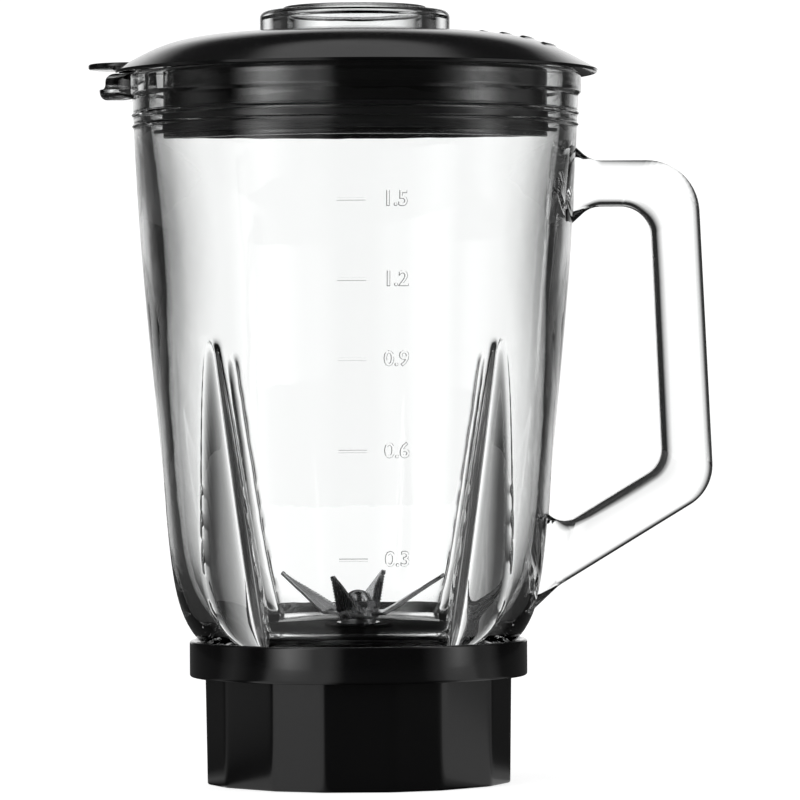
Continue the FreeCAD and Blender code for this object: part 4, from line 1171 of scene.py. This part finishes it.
@dataclass
class Lid:
    """The black lid: domed crown, brim, plug wall, filler tube, spout tab and grip ribs."""

    columns: int = 360
    crown_height: float = 239.0
    crown_radius: float = 33.6
    hole_radius: float = 24.8
    tube_radius: float = 27.0
    tube_foot: float = 221.0
    brim_radius: float = 77.6
    brim_foot: float = 226.1
    seat_radius: float = 70.3
    seat_height: float = 226.85
    plug_radius: float = 61.4
    plug_inner: float = 58.2
    plug_foot: float = 204.4
    groove_radius: float = 60.2
    groove_heights: tuple[float, float] = (206.2, 214.6)
    wall: float = 2.0
    rib_pitch: float = 7.0
    rib_half: float = 0.7
    rib_height: float = 0.6
    rib_angle: float = 22.0
    notch_half: float = 14.3
    notch_head: float = 228.0

    def crown(self) -> Array:
        """Return the crown's outline with a few rows across each grip rib, and mark them."""
        fall = self.crown_height - self.brim_foot
        middle = (self.brim_radius + self.crown_radius) / 2 + 8
        curve = smooth_curve([
            (self.crown_radius, self.crown_height), (middle, self.crown_height - fall * 0.36),
            (self.brim_radius - 5.2, self.crown_height - fall * 0.70),
            (self.brim_radius, self.brim_foot + 1.0)], 400)
        offsets = np.array([-1.0, -0.72, -0.45, 0.0, 0.45, 0.72, 1.0])
        heights = np.array([0.0, 0.25, 0.9, 1.0, 0.9, 0.25, 0.0])
        ribs = self.crown_radius + 2.4 + self.rib_pitch * np.arange(5)
        places = (ribs[:, None] + offsets).ravel()
        plain = np.linspace(self.crown_radius, self.brim_radius, 60)
        plain = plain[np.abs(plain[:, None] - ribs).min(1) > 1.3]
        radius = np.concatenate([places, plain])
        lift = np.concatenate([np.tile(heights, 5), 0 * plain])
        order = np.argsort(radius)
        self._lift = lift[order]
        return np.stack([radius[order], np.interp(radius[order], *curve.T)], -1)

    def shaped(self, radius: Array, height: Array, angle: Array) -> tuple[Array, Array]:
        """Raise the grip ribs on the handle's side and lift the brim over the spout."""
        turn = np.abs((angle + math.pi) % (2 * math.pi) - math.pi)
        window = ease((math.radians(self.rib_angle) - turn) / 0.025)
        height = height + self.rib_height * self._rows[:, None] * window
        y, x = radius * np.sin(angle), radius * np.cos(angle)
        notch = (np.abs(y) < self.notch_half) & (x < 0) & (radius > self.seat_radius + 0.5)
        lowest = np.where(self._under[:, None], self.notch_head, self.notch_head + 0.6)
        return radius, np.where(notch, np.maximum(height, lowest), height)

    def build(self) -> bpy.types.Object:
        """Make the lid from one closed outline, and add the tab."""
        crown, low, high = self.crown(), *self.groove_heights
        outer = filleted([
            (self.brim_radius, self.brim_foot + 1.0, 0), (self.brim_radius - 0.4, self.brim_foot,
             0.3), (72.6, 227.9, 0.6), (self.seat_radius + 0.1, 228.6, 0.2),
            (self.seat_radius, self.seat_height, 0.3), (self.plug_radius, self.seat_height, 0.4),
            (self.plug_radius, high, 0.2), (self.groove_radius, high, 0.2),
            (self.groove_radius, low, 0.2), (self.plug_radius, low, 0.2),
            (self.plug_radius, self.plug_foot, 0.6), (self.plug_inner, self.plug_foot, 0.6),
            (self.plug_inner, 233.4, 1.5), (self.crown_radius, self.crown_height - self.wall, 2.0),
            (self.tube_radius, self.crown_height - self.wall, 0.6),
            (self.tube_radius, self.tube_foot, 0.5), (self.hole_radius, self.tube_foot, 0.5),
            (self.hole_radius, self.crown_height, 0.6), (self.crown_radius, self.crown_height,
             0)], closed=False)[1:-1]
        outline = np.concatenate([crown, outer])
        self._rows = np.concatenate([self._lift, np.zeros(len(outer))])
        self._under = np.arange(len(outline)) >= len(crown)
        tab = nosed_block(85.3, 69.5, 28.0, (self.notch_head, 229.7), 0.6)
        mesh = mesh_of("lid_black", [turned(outline, self.columns, self.shaped), tab])
        return place_piece(mesh, "lid", "lid", Slot.BLACK_GLOSS, crease=30.0)


LID_PARTS = [
    TurnedPart("lid_seal", "lid", Slot.SILICONE, [
        (60.2, 206.3, 0.2), (64.5, 206.3, 0.4), (64.5, 207.5, 0.4), (61.6, 207.5, 0.5),
        (61.6, 213.3, 0.5), (64.5, 213.3, 0.4), (64.5, 214.5, 0.4), (60.2, 214.5, 0.2)], 256),
    TurnedPart("measuring_cap", "cap", Slot.CLEAR_PLASTIC, [
        (21.6, 218.0, 0.5), (24.4, 218.0, 0.5), (24.4, 239.1, 0.4), (30.4, 239.1, 0.6),
        (30.4, 246.3, 2.2), (23.0, 246.3, 0.6), (23.0, 247.7, 0.7), (0.0, 247.7, 0),
        (0.0, 245.1, 0), (21.6, 245.1, 1.2)], 256),
]


# ------------------------------------------------------------------ studio

@dataclass
class Studio:
    """The pale floor, the soft light all round and the camera.

    Attributes:
        back_half: Half the width of the bright backdrop, in degrees.
        back_soft: The width over which its edges fade, in degrees.
        back_power: Its brightness.
        dimmest: The brightness of the gaps between the panels.
        roof_power: The brightness of the high panel that the lid's crown mirrors.
        back_levels: The middle and half height of the backdrop's light, in degrees.
        front_levels: The same for the front panels.
        roof_levels: The same for the high panel.
        painted_reflection_most: The greatest brightness of the painted panel reflection that the
            floor shows in glossy pieces.
        front_bands: The panels' middle, half width, fade and brightness, from the front.
    """

    floor_radius: float = 3.0
    distance: float = 1.696
    camera_height: float = 0.1302
    camera_side: float = 0.0138
    lens: float = 238.5
    tilt: float = 0.281
    roll: float = 0.34
    back_half: float = 17.5
    back_soft: float = 10.0
    back_power: float = 1.1
    roof_power: float = 0.45
    back_levels: tuple[float, float] = (-3.0, 27.0)
    front_levels: tuple[float, float] = (27.0, 35.0)
    roof_levels: tuple[float, float] = (62.0, 14.0)
    dimmest: float = 0.02
    painted_reflection_most: float = 0.55
    front_bands: tuple[tuple[float, float, float, float], ...] = (
        (-36.0, 22.0, 5.0, 0.55), (-48.0, 3.0, 15.0, 3.0), (78.0, 28.0, 6.0, 0.25),
        (72.0, 4.0, 11.0, 2.0), (-92.0, 8.0, 8.0, 0.2))

    def floor(self) -> None:
        """Lay the pale floor, which mirrors less in glossy pieces than it shows itself: for every
        ray but the camera's its colour drops to a tenth, a painted shade, and it glows with a
        painted reflection of the front panels in glossy pieces and a painted backlight seen
        through glass.
        """
        mesh = bpy.data.meshes.new("floor")
        turn = np.linspace(0, 2 * math.pi, 96, endpoint=False)
        rim = np.stack([np.cos(turn), np.sin(turn), 0 * turn], -1) * self.floor_radius
        mesh.from_pydata(rim - [0, 0, 0.0001], [], [list(range(96))])
        material, nodes = new_material("pale_floor_painted_light")
        place = nodes.add("TexCoord").outputs["Object"]
        cloud = nodes.add("TexNoise", {"Vector": place, "Scale": 6.0, "Detail": 4.0})
        shade = nodes.add("MapRange", {"Value": cloud.outputs["Fac"], "To Min": 0.90,
                                       "To Max": 0.94})
        path = nodes.add("LightPath").outputs
        spot = nodes.add("SeparateXYZ", {0: place}).outputs
        ahead = nodes.maths("MULTIPLY", spot[1], -1.0)
        azimuth = nodes.maths("MULTIPLY", nodes.maths("ARCTAN2", spot[0], ahead), 180 / math.pi)
        behind = nodes.maths("SUBTRACT", 180.0, nodes.maths("ABSOLUTE", azimuth))
        # Painted backlight: seen through glass, the floor glows with the backdrop's band behind
        # the object.
        through = nodes.maths("MULTIPLY", path["Is Transmission Ray"], self.band(
            nodes, behind, 0.0, self.back_half, self.back_soft))
        # Painted reflection: seen in glossy pieces, the floor glows with the front panels'
        # pattern, capped at its greatest painted brightness.
        painted_panel_reflection = nodes.maths("MULTIPLY", nodes.maths(
            "MULTIPLY", path["Is Glossy Ray"], nodes.maths(
                "MINIMUM", self.front(nodes, azimuth), self.painted_reflection_most)), nodes.maths(
                    "SUBTRACT", 1.0, path["Is Transmission Ray"]))
        # Painted light: the glow is the evenly pale floor for camera rays plus the painted
        # backlight and the painted panel reflection.
        pale_and_painted_glow = nodes.maths("ADD", nodes.maths("ADD", nodes.maths(
            "MULTIPLY", path["Is Camera Ray"], 0.8), nodes.maths(
                "MULTIPLY", through, self.back_power)), painted_panel_reflection)
        # Painted shade: for every ray but the camera's the floor's colour drops to a tenth, so it
        # is darker where it is mirrored or seen through glass.
        tone_with_painted_shade = nodes.maths("MULTIPLY", shade.outputs["Result"], nodes.maths(
            "ADD", nodes.maths("MULTIPLY", path["Is Camera Ray"], 0.9), 0.1))
        shader = nodes.add("BsdfPrincipled", {
            "Base Color": tone_with_painted_shade, "Roughness": 0.8,
            "Emission Color": (1, 1, 1, 1), "Emission Strength": pale_and_painted_glow})
        nodes.add("OutputMaterial", {"Surface": shader.outputs[0]})
        mesh.materials.append(material)
        plane = bpy.data.objects.new("floor", mesh)
        bpy.context.scene.collection.objects.link(plane)

    def band(self, nodes: Nodes, angle: object, middle: float, half: float,
             soft: float) -> bpy.types.NodeSocket:
        """Return 1 where an angle is within half of the middle, with soft edges, else 0."""
        away = nodes.maths("ABSOLUTE", nodes.maths("SUBTRACT", angle, middle))
        return nodes.maths("DIVIDE", nodes.maths("SUBTRACT", half + soft, away), 2 * soft,
                           clamp=True)

    def front(self, nodes: Nodes, azimuth: object) -> bpy.types.NodeSocket:
        """Return the brightness round the front: two broad panels, each with a brighter peak."""
        total = 0.0
        for middle, half, soft, power in self.front_bands:
            light = nodes.maths("MULTIPLY", self.band(nodes, azimuth, middle, half, soft), power)
            total = nodes.maths("ADD", total, light)
        return total

    def light(self) -> None:
        """Light the scene from a bright backdrop, two front panels, a roof and dark gaps."""
        world = bpy.data.worlds.new("studio")
        bpy.context.scene.world = world
        world.use_nodes = True
        nodes = Nodes(world.node_tree)
        way = nodes.add("SeparateXYZ", {0: nodes.add("TexCoord").outputs["Generated"]})
        x, y, z = way.outputs
        ahead = nodes.maths("MULTIPLY", y, -1.0)
        azimuth = nodes.maths("MULTIPLY", nodes.maths("ARCTAN2", x, ahead), 180 / math.pi)
        height = nodes.maths("MULTIPLY", nodes.maths("ARCSINE", z), 180 / math.pi)
        behind = nodes.maths("SUBTRACT", 180.0, nodes.maths("ABSOLUTE", azimuth))
        back = nodes.maths("MULTIPLY", self.band(nodes, behind, 0.0, self.back_half,
                                                 self.back_soft), self.back_power)
        roof = nodes.maths("MULTIPLY", self.band(nodes, behind, 0.0, 120.0, 20.0),
                           self.band(nodes, height, *self.roof_levels, 2.0))
        roof = nodes.maths("MULTIPLY", roof, self.roof_power)
        total = nodes.maths("ADD", self.dimmest, roof)
        for light, levels in ((back, self.back_levels),
                              (self.front(nodes, azimuth), self.front_levels)):
            total = nodes.maths("ADD", total, nodes.maths(
                "MULTIPLY", light, self.band(nodes, height, *levels, 6.0)))
        seen = nodes.add("LightPath").outputs["Is Camera Ray"]
        strength = nodes.maths("MAXIMUM", total, seen)
        shader = nodes.add("Background", {"Color": (1, 1, 1, 1), "Strength": strength})
        nodes.add("OutputWorld", {"Surface": shader.outputs[0]})
        bpy.context.scene.view_settings.view_transform = "Standard"

    def camera(self) -> None:
        """Set the camera in front of the object, level with its middle."""
        data = bpy.data.cameras.new("camera")
        data.lens, data.sensor_width = self.lens, 36.0
        data.clip_start, data.clip_end = 0.05, 50.0
        camera = bpy.data.objects.new("camera", data)
        camera.location = (self.camera_side, -self.distance, self.camera_height)
        camera.rotation_euler = (math.radians(90 - self.tilt), math.radians(self.roll), 0)
        bpy.context.scene.collection.objects.link(camera)
        bpy.context.scene.camera = camera

    def build(self) -> None:
        """Make the floor, the light and the camera."""
        self.floor()
        self.light()
        self.camera()
        cycles = bpy.context.scene.cycles
        cycles.max_bounces, cycles.transmission_bounces, cycles.glossy_bounces = 24, 24, 8


def main() -> None:
    """Build every sub-assembly and the studio."""
    logging.basicConfig(level=logging.INFO, format="%(message)s")
    GlassJug().build()
    BaseCollar().build()
    for part in TURNED_PARTS:
        part.build()
    KnifeSet().build()
    for part in BROKEN_EDGE_PARTS:
        part.build()
    Lid().build()
    for part in LID_PARTS:
        part.build()
    Studio().build()


if __name__ == "__main__":
    main()
